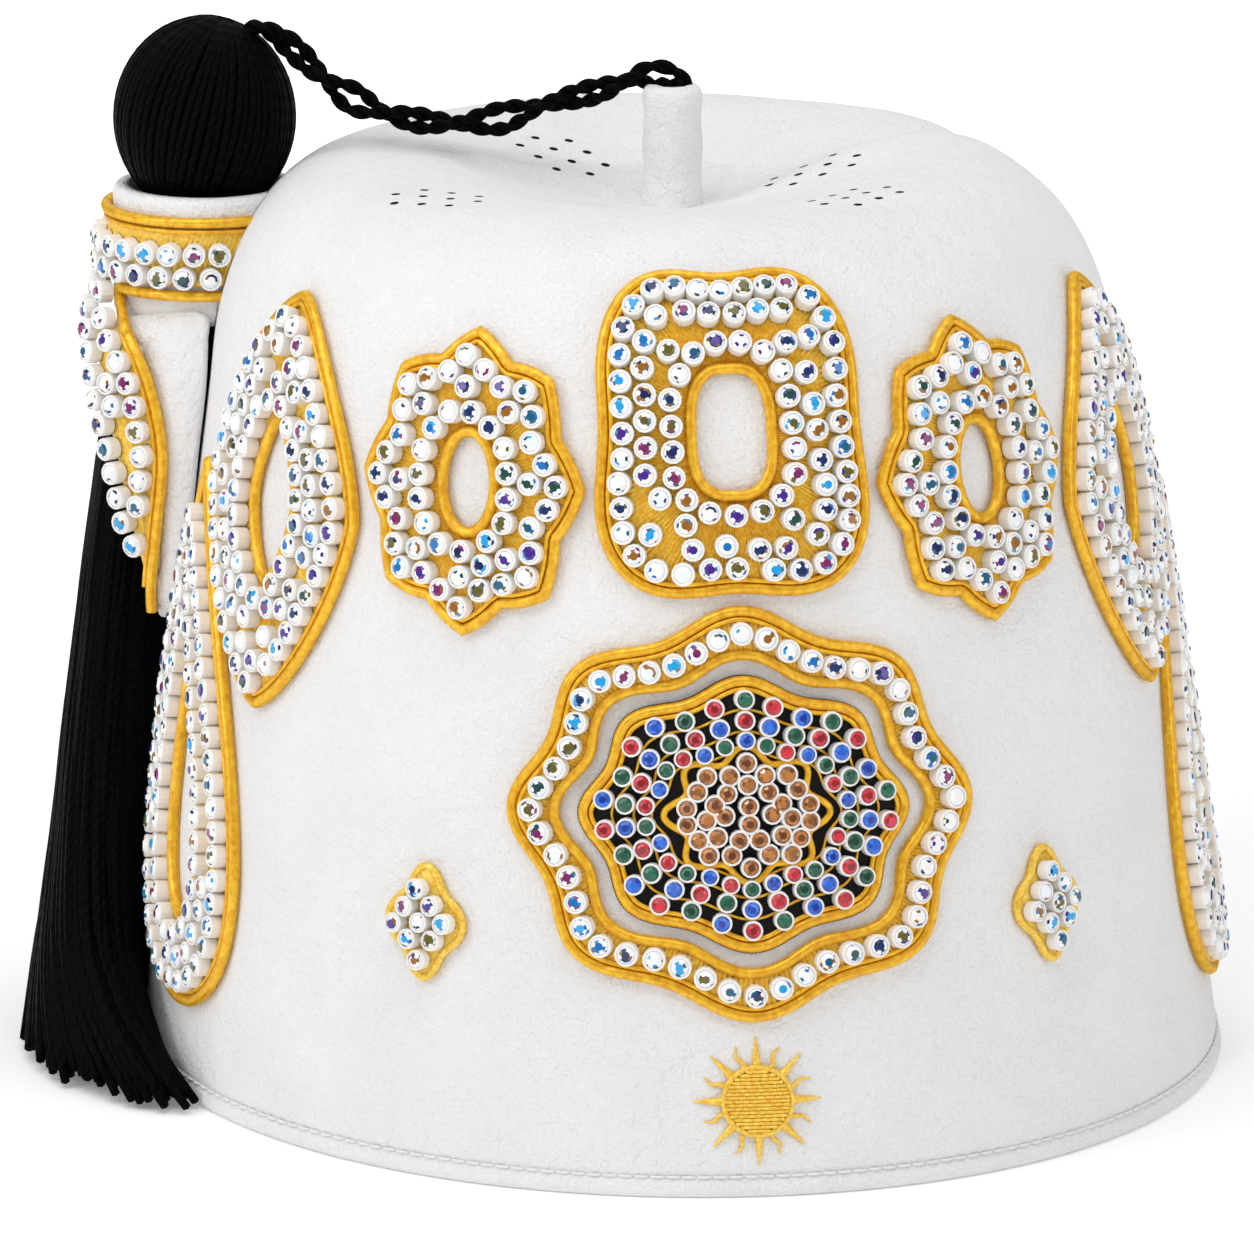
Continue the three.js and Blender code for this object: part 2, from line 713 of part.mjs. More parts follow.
// Tassel, holder and cord
const tassel = new THREE.Group();
addPiece(tassel, "tassel_ball", clearOfCrown(ballShape(0)), blackYarn);
addPiece(tassel, "tassel_skirt", makeSkirt(), blackYarn);
addPiece(tassel, "tassel_cord", makeCord(), blackYarn);
addPiece(tassel, "tassel_holder", makeHolder(), whiteFelt);
addPiece(tassel, "holder_upper_cord", holderBand(HOLDER_BANDS.upperCord), goldThread);
addPiece(tassel, "holder_lower_cord", holderBand(HOLDER_BANDS.lowerCord), goldThread);
addPiece(tassel, "holder_stones", holderBand(HOLDER_BANDS.stones), clearStone);
const tongueFelt = { rightKey: "right", margin: 0, low: 0, high: 1.8, startAt: 0, endAt: 1 };
const tonguePad = { rightKey: "cord", margin: 0.6, low: 2.1, high: 3.6, startAt: 0.03, endAt: 0.94 };
const tongueStones = { rightKey: "cord", margin: 2.4, low: 3.9, high: 6.6, startAt: 0.06, endAt: 0.84 };
addPiece(tassel, "tongue", tongueLeaf(tongueFelt), whiteFelt);
addPiece(tassel, "tongue_pad", tongueLeaf(tonguePad), goldThread);
addPiece(tassel, "tongue_stones", tongueLeaf(tongueStones), clearStone);
fez.add(tassel);

// The origin is under the middle of the whole, at the height of the rim
fez.updateMatrixWorld(true);
const whole = new THREE.Box3().setFromObject(fez);
fez.position.set(-(whole.min.x + whole.max.x) / 2, -(whole.min.y + whole.max.y) / 2, 0);

export default fez;
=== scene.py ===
# A white felt fez with jewelled appliques, gold cord and a black tassel, dressed around its frame.
# Lengths are in millimetres and become metres where a point is placed.
import bisect
import json
import math
import random

import bmesh
import bpy
from mathutils import Matrix, Vector, noise
from mathutils.kdtree import KDTree


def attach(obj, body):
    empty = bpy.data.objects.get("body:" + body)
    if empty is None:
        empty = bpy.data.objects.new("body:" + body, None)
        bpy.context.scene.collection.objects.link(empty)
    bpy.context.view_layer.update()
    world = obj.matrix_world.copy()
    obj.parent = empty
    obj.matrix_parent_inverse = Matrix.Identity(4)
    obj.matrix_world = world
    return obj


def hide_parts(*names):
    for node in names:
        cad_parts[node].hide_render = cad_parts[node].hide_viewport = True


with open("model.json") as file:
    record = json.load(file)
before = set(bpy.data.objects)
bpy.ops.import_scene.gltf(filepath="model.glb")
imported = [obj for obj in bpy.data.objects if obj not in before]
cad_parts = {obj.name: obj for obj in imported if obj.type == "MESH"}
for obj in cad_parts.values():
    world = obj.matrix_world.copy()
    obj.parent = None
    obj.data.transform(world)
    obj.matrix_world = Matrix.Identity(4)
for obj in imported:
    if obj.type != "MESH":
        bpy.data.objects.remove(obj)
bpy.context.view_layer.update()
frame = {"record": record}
scene = bpy.context.scene
MM = 0.001

# Camera, floor and light
# A long lens looks slightly down at the hat from a little left of its front. The hat stands on a
# large white table under a soft box, with weaker light from both sides and on the table behind. The
# table glows more away from the hat, so it stays white to its edge.
VIEW_AZIMUTH = -7
VIEW_ELEVATION = 13.2
VIEW_DISTANCE = 2258
VIEW_AIM = (0.65, -1.31, 69.73)
LENS = 395.8


def mix(a, b, t):
    return a + (b - a) * t


def toward(azimuth, elevation):
    a = math.radians(azimuth)
    e = math.radians(elevation)
    return Vector((math.sin(a) * math.cos(e), -math.cos(a) * math.cos(e), math.sin(e)))


def look_from(thing, place, aim):
    thing.location = place
    thing.rotation_euler = (aim - place).to_track_quat("-Z", "Y").to_euler()


aim_point = Vector(VIEW_AIM) * MM
camera_data = bpy.data.cameras.new("camera")
camera_data.lens = LENS
camera_data.sensor_width = 36
camera_data.clip_end = 20
camera = bpy.data.objects.new("camera", camera_data)
scene.collection.objects.link(camera)
look_from(camera, aim_point + toward(VIEW_AZIMUTH, VIEW_ELEVATION) * VIEW_DISTANCE * MM, aim_point)
scene.camera = camera


def soft_box(name, azimuth, elevation, distance, size, watts, aim=(0, 0, 0.08)):
    data = bpy.data.lights.new(name, "AREA")
    data.shape = "RECTANGLE"
    data.size, data.size_y = size
    data.energy = watts
    lamp = bpy.data.objects.new(name, data)
    scene.collection.objects.link(lamp)
    look_from(lamp, Vector(aim) + toward(azimuth, elevation) * distance, Vector(aim))


soft_box("soft_box_top", -20, 72, 1.3, (1.1, 1.1), 6)
soft_box("soft_box_left", -68, 30, 1.5, (0.6, 1.0), 5.4)
soft_box("soft_box_right", 48, 22, 1.5, (0.5, 0.9), 2.8)
soft_box("soft_box_back", 180, 75, 1.2, (2.4, 1.2), 6, aim=(0.1, 0.75, 0))
soft_box("sparkle_lamp", -28, 48, 1.6, (0.12, 0.12), 1.5)

scene.view_settings.view_transform = "Standard"
world = bpy.data.worlds.new("studio")
scene.world = world
world.use_nodes = True
world.node_tree.nodes["Background"].inputs["Color"].default_value = (1, 1, 1, 1)
world.node_tree.nodes["Background"].inputs["Strength"].default_value = 0.44


def finish_mesh(shape, name, smooth=True):
    """A bmesh becomes an object whose place is in its mesh."""
    mesh = bpy.data.meshes.new(name)
    shape.to_mesh(mesh)
    shape.free()
    if smooth:
        mesh.shade_smooth()
    piece = bpy.data.objects.new(name, mesh)
    scene.collection.objects.link(piece)
    return piece


def make_material(name, color, roughness, metallic=0.0, sheen=0.0):
    material = bpy.data.materials.new(name)
    material.use_nodes = True
    shader = material.node_tree.nodes["Principled BSDF"]
    shader.inputs["Base Color"].default_value = (*color, 1)
    shader.inputs["Roughness"].default_value = roughness
    shader.inputs["Metallic"].default_value = metallic
    shader.inputs["Sheen Weight"].default_value = sheen
    return material, shader


def add_node(tree, kind, values, **settings):
    """A shader node. Each of its inputs that is named gets a number, or a link from a socket."""
    node = tree.nodes.new(f"ShaderNode{kind}")
    for name, value in settings.items():
        setattr(node, name, value)
    for name, value in values.items():
        if isinstance(value, bpy.types.NodeSocket):
            tree.links.new(value, node.inputs[name])
        else:
            node.inputs[name].default_value = value
    return node


FLOOR_RADIUS = 7
GLOW_BY_HAT = 0.16
GLOW_FAR_OFF = 0.62
floor_shape = bmesh.new()
bmesh.ops.create_circle(floor_shape, cap_ends=True, segments=64, radius=FLOOR_RADIUS)
floor = finish_mesh(floor_shape, "floor", smooth=False)
floor_material, floor_shader = make_material("white_table", (0.93, 0.93, 0.935), 0.85)
floor_shader.inputs["Emission Color"].default_value = (1, 1, 1, 1)
floor_tree = floor_material.node_tree
floor_place = add_node(floor_tree, "TexCoord", {})
floor_distance = add_node(floor_tree, "VectorMath", {0: floor_place.outputs["Object"]}, operation="LENGTH")
glow_range = {"From Min": 0.2, "From Max": 0.9, "To Min": GLOW_BY_HAT, "To Max": GLOW_FAR_OFF}
floor_glow = add_node(floor_tree, "MapRange", {"Value": floor_distance.outputs["Value"], **glow_range})
floor_tree.links.new(floor_glow.outputs["Result"], floor_shader.inputs["Emission Strength"])
floor.data.materials.append(floor_material)

# Tassel cord
# Two plies of black rayon are twisted loosely round each other, so light shows between them. The
# cord leaves the top of the stem, sags over the shoulder and is sewn into the top of the ball.
rim_middle = frame["record"]["mounts"][0]["pos_m"][0] / MM
CORD_ROUTE = [
    (0.6, -0.9, 158.4),
    (-0.7, -0.4, 160.5),
    (-3.3, 0.5, 161.2),
    (-6.3, 1.5, 160.9),
    (-9, 2.6, 159.9),
    (-12.2, 3.9, 158.5),
    (-15.8, 5.3, 157.3),
    (-20, 6.9, 155.9),
    (-24.1, 8.5, 154.3),
    (-28.5, 10.1, 152.8),
    (-33.2, 11.9, 151.8),
    (-38, 13.7, 151.6),
    (-42.7, 15.5, 152),
    (-47.1, 17.2, 152.9),
    (-50.6, 18.5, 154.3),
    (-54.1, 19.9, 156.4),
    (-57.5, 21.2, 159.1),
    (-60.7, 22.4, 162.4),
    (-62.8, 23.1, 164.2),
    (-65.2, 24, 165.7),
    (-67.6, 25, 166),
    (-69.2, 25.5, 164.8),
]
PLY_REACH = 1.15
PLY_TURN_LENGTH = 27
YARN_WIDTH = 1.4
YARN_TURN_LENGTH = 6.5


def smooth_route(points, step):
    """Points on a smooth curve through the given ones, about a step apart."""
    knots = [points[0], *points, points[-1]]
    knots[0] = points[0] * 2 - points[1]
    knots[-1] = points[-1] * 2 - points[-2]
    route = []
    for a, b, c, d in zip(knots, knots[1:], knots[2:], knots[3:]):
        count = max(round((c - b).length / step), 1)
        for i in range(count):
            t = i / count
            bend = (2 * a - 5 * b + 4 * c - d) * t * t + (3 * b - 3 * c + d - a) * t**3
            route.append(b + ((c - a) * t + bend) / 2)
    return [*route, points[-1]]


def frames_along(route, closed, up=Vector((0, 0, 1))):
    """For each point: the point, a direction across the route, and one square to both."""
    found = []
    count = len(route)
    for i, point in enumerate(route):
        after = route[(i + 1) % count] if closed else route[min(i + 1, count - 1)]
        before = route[i - 1] if closed else route[max(i - 1, 0)]
        along = (after - before).normalized()
        lean = up[i] if isinstance(up, list) else up
        across = along.cross(lean).normalized()
        found.append((point, across, across.cross(along)))
    return found


def rolled_tube(shape, rings, sides, place, closed, run=1.0):
    """A grid rolled up into a tube: place gives the point of a ring and a side. Its UV map runs
    along the tube, over the given length in millimetres, and once round it."""
    thread = shape.loops.layers.uv.verify()
    made = bmesh.ops.create_grid(shape, x_segments=rings, y_segments=sides, size=0.5, calc_uvs=True)
    for vert in made["verts"]:
        ring = round((vert.co.x + 0.5) * rings)
        side = round((vert.co.y + 0.5) * sides)
        if closed:
            ring %= rings
        vert.co = place(ring, side % sides)
    faces = {face for vert in made["verts"] for face in vert.link_faces}
    for face in faces:
        for corner in face.loops:
            corner[thread].uv.x *= run
    bmesh.ops.remove_doubles(shape, verts=made["verts"], dist=1e-7)
    if not closed:
        shape.edges.index_update()
        faces = [face for face in faces if face.is_valid]
        rims = {edge for face in faces for edge in face.edges if edge.is_boundary}
        in_order = sorted(rims, key=lambda edge: edge.index)
        bmesh.ops.holes_fill(shape, edges=in_order, sides=0)


def round_tube(shape, route, radius, sides, closed=False, up=Vector((0, 0, 1)), ribs=0.0):
    """A tube in metres along a route in millimetres. ribs pinches every other ring."""
    frames = frames_along(route, closed, up)

    def place(ring, side):
        point, across, above = frames[ring]
        angle = math.tau * side / sides
        size = radius(ring) if callable(radius) else radius
        size *= 1 - ribs * (ring % 2)
        return (point + across * (math.cos(angle) * size) + above * (math.sin(angle) * size)) * MM

    run = sum((b - a).length for a, b in zip(route, route[1:]))
    rolled_tube(shape, len(frames) if closed else len(frames) - 1, sides, place, closed, run)


def finish_piece(shape, name, materials, nodes, smooth=True):
    """A bmesh becomes a piece that rides with the hat and stands for the given nodes."""
    bmesh.ops.recalc_face_normals(shape, faces=shape.faces)
    piece = finish_mesh(shape, name, smooth)
    for material in materials:
        piece.data.materials.append(material)
    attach(piece, "root")
    if nodes:
        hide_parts(*nodes)
    return piece


cord_route = smooth_route([Vector((x + rim_middle, y, z)) for x, y, z in CORD_ROUTE], 0.4)
runs = [0.0]
for a, b in zip(cord_route, cord_route[1:]):
    runs.append(runs[-1] + (b - a).length)
cord_frames = frames_along(cord_route, False)
cord_shape = bmesh.new()
for ply in range(2):
    ply_route = []
    for (point, across, above), run in zip(cord_frames, runs):
        opened = 1 + 0.5 * math.sin(math.pi * run / PLY_TURN_LENGTH + 0.9) ** 6
        angle = math.tau * run / PLY_TURN_LENGTH + math.pi * ply + 0.4 * math.sin(run / 9)
        ends = min(run / 8, (runs[-1] - run) / 8, 1)
        reach = PLY_REACH * mix(0.75, opened, ends)
        ply_route.append(point + across * math.cos(angle) * reach + above * math.sin(angle) * reach)
    ply_frames = frames_along(ply_route, False)
    for yarn in range(2):
        yarn_route = []
        for (point, across, above), run in zip(ply_frames, runs):
            angle = math.tau * (yarn / 2 - run / YARN_TURN_LENGTH)
            swing = YARN_WIDTH * 0.38
            yarn_route.append(point + across * math.cos(angle) * swing + above * math.sin(angle) * swing)
        round_tube(cord_shape, yarn_route, YARN_WIDTH / 2, 8)
tassel_cord = finish_piece(cord_shape, "twisted_cord", [], ["tassel_cord"])


def start_group(name, inputs, outputs):
    """A node group with its sockets: the group, its input node and its output node."""
    group = bpy.data.node_groups.new(name, "ShaderNodeTree")
    for socket, value in inputs.items():
        made = group.interface.new_socket(socket, in_out="INPUT", socket_type="NodeSocketFloat")
        made.default_value = value
    for socket, kind in outputs.items():
        group.interface.new_socket(socket, in_out="OUTPUT", socket_type=f"NodeSocket{kind}")
    return group, group.nodes.new("NodeGroupInput"), group.nodes.new("NodeGroupOutput")


def build_yarn_twist():
    """Two plies twisted together, slanting across a thread by its own UV map: a normal, and a
    mask that is low in the groove between the plies; the yarn's colour follows it, as painted
    shade in the groove."""
    inputs = {"Turns": 0.4, "Depth": 0.8}
    group, enter, leave = start_group("yarn_twist", inputs, {"Normal": "Vector", "Ply": "Float"})
    thread = add_node(group, "UVMap", {})
    split = add_node(group, "SeparateXYZ", {"Vector": thread.outputs["UV"]})
    slant = {0: split.outputs["X"], 1: enter.outputs["Turns"], 2: split.outputs["Y"]}
    along = add_node(group, "Math", slant, operation="MULTIPLY_ADD")
    wave = add_node(group, "Math", {0: along.outputs[0], 1: 0.25}, operation="PINGPONG")
    ply = add_node(group, "Math", {0: wave.outputs[0], 1: 4.0}, operation="MULTIPLY")
    relief = {"Distance": 0.00025, "Strength": enter.outputs["Depth"], "Height": ply.outputs[0]}
    bump = add_node(group, "Bump", relief)
    group.links.new(bump.outputs["Normal"], leave.inputs["Normal"])
    group.links.new(ply.outputs[0], leave.inputs["Ply"])
    return group


yarn_twist = build_yarn_twist()


def place_group(material, group, **values):
    node = material.node_tree.nodes.new("ShaderNodeGroup")
    node.node_tree = group
    for name, value in values.items():
        node.inputs[name].default_value = value
    return node


def blend_color(material, shader, factor, low, high):
    """Base Color runs between two colours by a factor socket."""
    ends = {"A": (*low, 1), "B": (*high, 1), "Factor": factor}
    blend = add_node(material.node_tree, "Mix", ends, data_type="RGBA")
    material.node_tree.links.new(blend.outputs["Result"], shader.inputs["Base Color"])


yarn_material, yarn_shader = make_material("black_rayon_yarn", (0.002, 0.002, 0.002), 0.65)
yarn_shader.inputs["Specular IOR Level"].default_value = 0.04
yarn_marks = place_group(yarn_material, yarn_twist, Turns=0.22, Depth=0.55)
yarn_material.node_tree.links.new(yarn_marks.outputs["Normal"], yarn_shader.inputs["Normal"])
# Painted shade and highlight: the yarn's colour is darker in the groove between the plies and lighter on
# their crests.
YARN_GROOVE_PAINTED_SHADE = (0.0004, 0.0004, 0.0005)
YARN_CREST_PAINTED_LIGHT = (0.0022, 0.0022, 0.0026)
blend_color(yarn_material, yarn_shader, yarn_marks.outputs["Ply"], YARN_GROOVE_PAINTED_SHADE, YARN_CREST_PAINTED_LIGHT)
tassel_cord.data.materials.append(yarn_material)

# Crown
# One piece of dense white wool felt, blocked over a form: oval, tapering, with a soft shoulder and
# a dished top. Its edge is turned up and machine stitched, and small vents are punched in the top.
RIM_HALF_WIDTH = 88.5
OVAL = 1.14
CROWN_HEIGHT = 147.7
SIDE_TOP_RADIUS = 74
SIDE_TOP_HEIGHT = 112.7
SIDE_BULGE = 0.8
RIDGE_RADIUS = 45.4
SHOULDER_POWER = 2.6
DISH_DEPTH = 7.5
LEAN = -3.3
FELT = 2.0
SIDE_END = 0.55
SHOULDER_END = 0.8
CROWN_STEPS = 264
HEM_STITCH_HEIGHT = 3.4
HEM_STITCH_PITCH = 2.7
VENT_RADIUS = 0.75
VENT_PITCH = 5
VENT_ROWS = (3, 4, 3)
VENT_GROUPS = [
    {"x": -43, "y": -27, "turn": -35},
    {"x": -17, "y": 21, "turn": -60},
    {"x": 24, "y": -33, "turn": 40},
    {"x": 22, "y": 3, "turn": 10},
]
TOP_FOLDS = [
    {"start": (-54, 20), "end": (-9, 3), "depth": 0.9, "width": 4},
    {"start": (53, 27), "end": (7, 5), "depth": 0.9, "width": 4},
    {"start": (-24, -41), "end": (50, -42), "depth": 0.35, "width": 4},
]


def side_radius(z):
    up = z / SIDE_TOP_HEIGHT
    return mix(RIM_HALF_WIDTH, SIDE_TOP_RADIUS, up) + SIDE_BULGE * math.sin(math.pi * min(up, 1))


def crown_outline(t):
    """Half width and height of the felt, from the rim at 0 to the middle of the top at 1."""
    if t <= SIDE_END:
        z = SIDE_TOP_HEIGHT * t / SIDE_END
        return side_radius(z), z
    if t <= SHOULDER_END:
        turn = (t - SIDE_END) / (SHOULDER_END - SIDE_END) * math.pi / 2
        inward = max(math.cos(turn), 0) ** (2 / SHOULDER_POWER)
        z = mix(SIDE_TOP_HEIGHT, CROWN_HEIGHT, math.sin(turn) ** (2 / SHOULDER_POWER))
        return mix(RIDGE_RADIUS, side_radius(z), inward), z
    across = (1 - t) / (1 - SHOULDER_END)
    return RIDGE_RADIUS * across, CROWN_HEIGHT - DISH_DEPTH * (0.5 + 0.5 * math.cos(math.pi * across))


outline_points = [crown_outline(i / 4000) for i in range(4001)]
outline_runs = [0.0]
for (r0, z0), (r1, z1) in zip(outline_points, outline_points[1:]):
    outline_runs.append(outline_runs[-1] + math.hypot(r1 - r0, z1 - z0))
outline_length = outline_runs[-1]


def felt_at(up):
    """Half width, height and slope of the felt at a distance up from the rim."""
    up = min(max(up, 0), outline_length)
    i = min(max(bisect.bisect(outline_runs, up) - 1, 0), 3999)
    span = outline_runs[i + 1] - outline_runs[i]
    t = (up - outline_runs[i]) / span
    (r0, z0), (r1, z1) = outline_points[i], outline_points[i + 1]
    return mix(r0, r1, t), mix(z0, z1, t), (r1 - r0) / span, (z1 - z0) / span


def on_crown(azimuth, up, lift=0.0):
    """A point on the felt in millimetres, and the felt's outward direction there."""
    radius, z, slope_in, slope_up = felt_at(up)
    a = math.radians(azimuth)
    sin_a, cos_a = math.sin(a), math.cos(a)
    point = Vector((radius * sin_a + LEAN * z / CROWN_HEIGHT + rim_middle, -OVAL * radius * cos_a, z))
    along = Vector((cos_a, OVAL * sin_a, 0))
    rising = Vector((slope_in * sin_a + LEAN * slope_up / CROWN_HEIGHT, -OVAL * slope_in * cos_a, slope_up))
    outward = along.cross(rising).normalized()
    return point + outward * lift, outward


def soft_dents(point):
    """How far the hand-blocked felt wanders off its form, most on the top, which is folded."""
    top = min(max((point.z - 110) / 35, 0), 1)
    broad = noise.noise(Vector((point.x / 34, point.y / 34, point.z / 46 + 3.7)))
    fine = noise.noise(Vector((point.x / 11, point.y / 11, point.z / 11)))
    wander = broad * (0.2 + 0.6 * top) + fine * (0.05 + 0.15 * top)
    if top > 0.5:
        flat = Vector((point.x - rim_middle, point.y))
        for fold in TOP_FOLDS:
            start, end = Vector(fold["start"]), Vector(fold["end"])
            share = (flat - start).dot(end - start) / (end - start).length_squared
            away = (flat - start.lerp(end, min(max(share, 0), 1))).length
            wander -= fold["depth"] * math.exp(-((away / fold["width"]) ** 2))
    return wander


def hem_lift(up):
    """The turned edge stands proud, and the stitching draws it in above."""
    roll = 0.45 * math.exp(-(((up - 1.4) / 1.3) ** 2))
    stitch = 0.32 * math.exp(-(((up - HEM_STITCH_HEIGHT) / 0.55) ** 2))
    return roll - stitch


crown_section = []
for i in range(33):
    z_up = mix(outline_length, 0, (i / 32) ** 0.8)
    crown_section.append((z_up, -FELT))
crown_section += [(0, -1.7), (0, -1.2), (0, -0.7), (0.25, -0.25)]
crown_section += [(0.25 + 0.3 * i, 0.0) for i in range(1, 18)]
outer_start = crown_section[-1][0]
crown_section += [(mix(outer_start, outline_length, i / 116), 0.0) for i in range(1, 117)]


def felt_point(angle, up, lift):
    point, outward = on_crown(math.degrees(angle), up, 0.0)
    if lift > -FELT:
        rim = min(up / 0.8, 1)
        lift += hem_lift(up) * rim + soft_dents(point) * min(up / 8, 1)
    place = point + outward * lift
    place.z = max(place.z, 0.0)
    return place


crown_shape = bmesh.new()
section_count = len(crown_section)
bmesh.ops.create_grid(crown_shape, x_segments=CROWN_STEPS, y_segments=section_count - 1, size=0.5)
for vert in crown_shape.verts:
    step = round((vert.co.x + 0.5) * CROWN_STEPS) % CROWN_STEPS
    up, lift = crown_section[round((vert.co.y + 0.5) * (section_count - 1))]
    vert.co = felt_point(math.tau * step / CROWN_STEPS, up, lift) * MM
bmesh.ops.remove_doubles(crown_shape, verts=crown_shape.verts, dist=1e-6)
bmesh.ops.recalc_face_normals(crown_shape, faces=crown_shape.faces)
crown = finish_mesh(crown_shape, "felt_crown")

vent_shape = bmesh.new()
vent_spots = []
for vents in VENT_GROUPS:
    turned = Matrix.Rotation(math.radians(vents["turn"]), 3, "Z")
    middle = Vector((vents["x"] + rim_middle, vents["y"], CROWN_HEIGHT - 3))
    for row, count in enumerate(VENT_ROWS):
        for i in range(count):
            spot = middle + turned @ Vector((i - (count - 1) / 2, row - 1, 0)) * VENT_PITCH
            vent_spots.append(spot.xy * MM)
            bmesh.ops.create_cone(
                vent_shape,
                cap_ends=True,
                segments=12,
                radius1=VENT_RADIUS * MM,
                radius2=VENT_RADIUS * MM,
                depth=24 * MM,
                matrix=Matrix.Translation(spot * MM),
            )
vent_cutter = finish_mesh(vent_shape, "vent_cutter", smooth=False)


def apply_modifiers(piece):
    """The piece's modifiers become its mesh."""
    graph = bpy.context.evaluated_depsgraph_get()
    mesh = bpy.data.meshes.new_from_object(piece.evaluated_get(graph))
    old = piece.data
    piece.modifiers.clear()
    piece.data = mesh
    bpy.data.meshes.remove(old)


punch = crown.modifiers.new("vents", "BOOLEAN")
punch.operation = "DIFFERENCE"
punch.solver = "EXACT"
punch.object = vent_cutter
apply_modifiers(crown)
bpy.data.objects.remove(vent_cutter)
crown.data.shade_smooth()
crown.data.set_sharp_from_angle(angle=math.radians(50))
# The vent walls get a near-black felt: painted shade inside the holes, which are dark only for want of
# light.
VENT_WALL_REACH = VENT_RADIUS * 1.1
for face in crown.data.polygons:
    near = min(vent_spots, key=lambda spot: (spot - face.center.xy).length_squared)
    in_vent = (near - face.center.xy).length < VENT_WALL_REACH * MM
    if in_vent and abs(face.normal.z) < 0.5:
        face.material_index = 1


def build_felt_nap():
    """Short matted wool: a fine fuzzy height, a little cloudiness, and a normal."""
    outputs = {"Normal": "Vector", "Clouds": "Float"}
    group, enter, leave = start_group("felt_nap", {"Nap": 0.5}, outputs)
    place = add_node(group, "TexCoord", {}).outputs["Object"]
    hairs = add_node(group, "TexNoise", {"Vector": place, "Scale": 1500, "Detail": 3, "Distortion": 0.6})
    mats = add_node(group, "TexNoise", {"Vector": place, "Scale": 330, "Detail": 2})
    clouds = add_node(group, "TexNoise", {"Vector": place, "Scale": 60, "Detail": 4})
    sum_of = {0: mats.outputs["Fac"], 1: 1.6, 2: hairs.outputs["Fac"]}
    height = add_node(group, "Math", sum_of, operation="MULTIPLY_ADD")
    relief = {"Distance": 0.00045, "Strength": enter.outputs["Nap"], "Height": height.outputs[0]}
    bump = add_node(group, "Bump", relief)
    group.links.new(bump.outputs["Normal"], leave.inputs["Normal"])
    group.links.new(clouds.outputs["Fac"], leave.inputs["Clouds"])
    return group


felt_nap = build_felt_nap()


def make_felt(name, low, high, nap, sheen):
    material, shader = make_material(name, high, 0.95, sheen=sheen)
    shader.inputs["Sheen Roughness"].default_value = 0.45
    shader.inputs["Specular IOR Level"].default_value = 0.25
    marks = place_group(material, felt_nap, Nap=nap)
    material.node_tree.links.new(marks.outputs["Normal"], shader.inputs["Normal"])
    blend_color(material, shader, marks.outputs["Clouds"], low, high)
    return material


white_felt = make_felt("white_wool_felt", (0.78, 0.78, 0.79), (0.88, 0.88, 0.885), 0.9, 0.15)
crown.data.materials.append(white_felt)
# Near-black felt for the vent walls: painted shade.
vent_painted_shade = make_felt("painted_shade_in_the_vents", (0.02, 0.02, 0.02), (0.05, 0.05, 0.05), 0.4, 0.0)
crown.data.materials.append(vent_painted_shade)
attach(crown, "root")
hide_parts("crown")

# Hem stitching
# A single row of white machine stitches runs round the hat just above its turned edge. Each stitch
# is a short bead of thread that dips into the felt at both ends.
stitch_shape = bmesh.new()
rim_girth = math.pi * RIM_HALF_WIDTH * (1 + OVAL) * 1.001
stitch_count = round(rim_girth / HEM_STITCH_PITCH)
for i in range(stitch_count):
    spots = []
    for j in range(6):
        share = i + 0.04 + 0.92 * j / 5
        sink = 0.28 * math.sin(math.pi * j / 5) - 0.3
        spots.append(on_crown(360 * share / stitch_count, HEM_STITCH_HEIGHT, sink + 0.12)[0])
    round_tube(stitch_shape, spots, lambda ring: 0.2 + 0.08 * math.sin(math.pi * ring / 5), 5)
thread_material = make_material("white_thread", (0.82, 0.82, 0.82), 0.5, sheen=0.1)[0]
finish_piece(stitch_shape, "hem_stitches", [thread_material], [])

# Sweatband
# A strip of thin black leather lines the inside of the rim, with a rolled lower edge. It is sewn in
# along the hem and stands free above, so it waves a little.
BAND_HEIGHT = 32
BAND_STEPS = 200
band_section = [(0.9, 0.0), (0.6, 0.45), (0.9, 0.9), (1.6, 1.15), (6, 1.1), (14, 1.0), (23, 1.0), (32, 1.0)]
band_section += [(32, 0.0), (23, 0.0), (14, 0.0), (6, 0.0), (1.6, 0.0)]
band_shape = bmesh.new()


def band_place(ring, side):
    up, inward = band_section[side]
    angle = math.tau * ring / BAND_STEPS
    wave = 0.22 * math.sin(9 * angle + 1.3) * (up / BAND_HEIGHT) ** 2
    return on_crown(math.degrees(angle), up, -FELT - 0.55 - inward - abs(wave))[0] * MM


rolled_tube(band_shape, BAND_STEPS, len(band_section), band_place, True)
leather, leather_shader = make_material("black_sheep_leather", (0.018, 0.016, 0.015), 0.45)
grain_place = add_node(leather.node_tree, "TexCoord", {})
grain = add_node(leather.node_tree, "TexVoronoi", {"Vector": grain_place.outputs["Object"], "Scale": 900})
grain_relief = {"Strength": 0.35, "Distance": 0.0002, "Height": grain.outputs["Distance"]}
grain_bump = add_node(leather.node_tree, "Bump", grain_relief)
leather.node_tree.links.new(grain_bump.outputs["Normal"], leather_shader.inputs["Normal"])
finish_piece(band_shape, "leather_band", [leather], ["sweatband"])

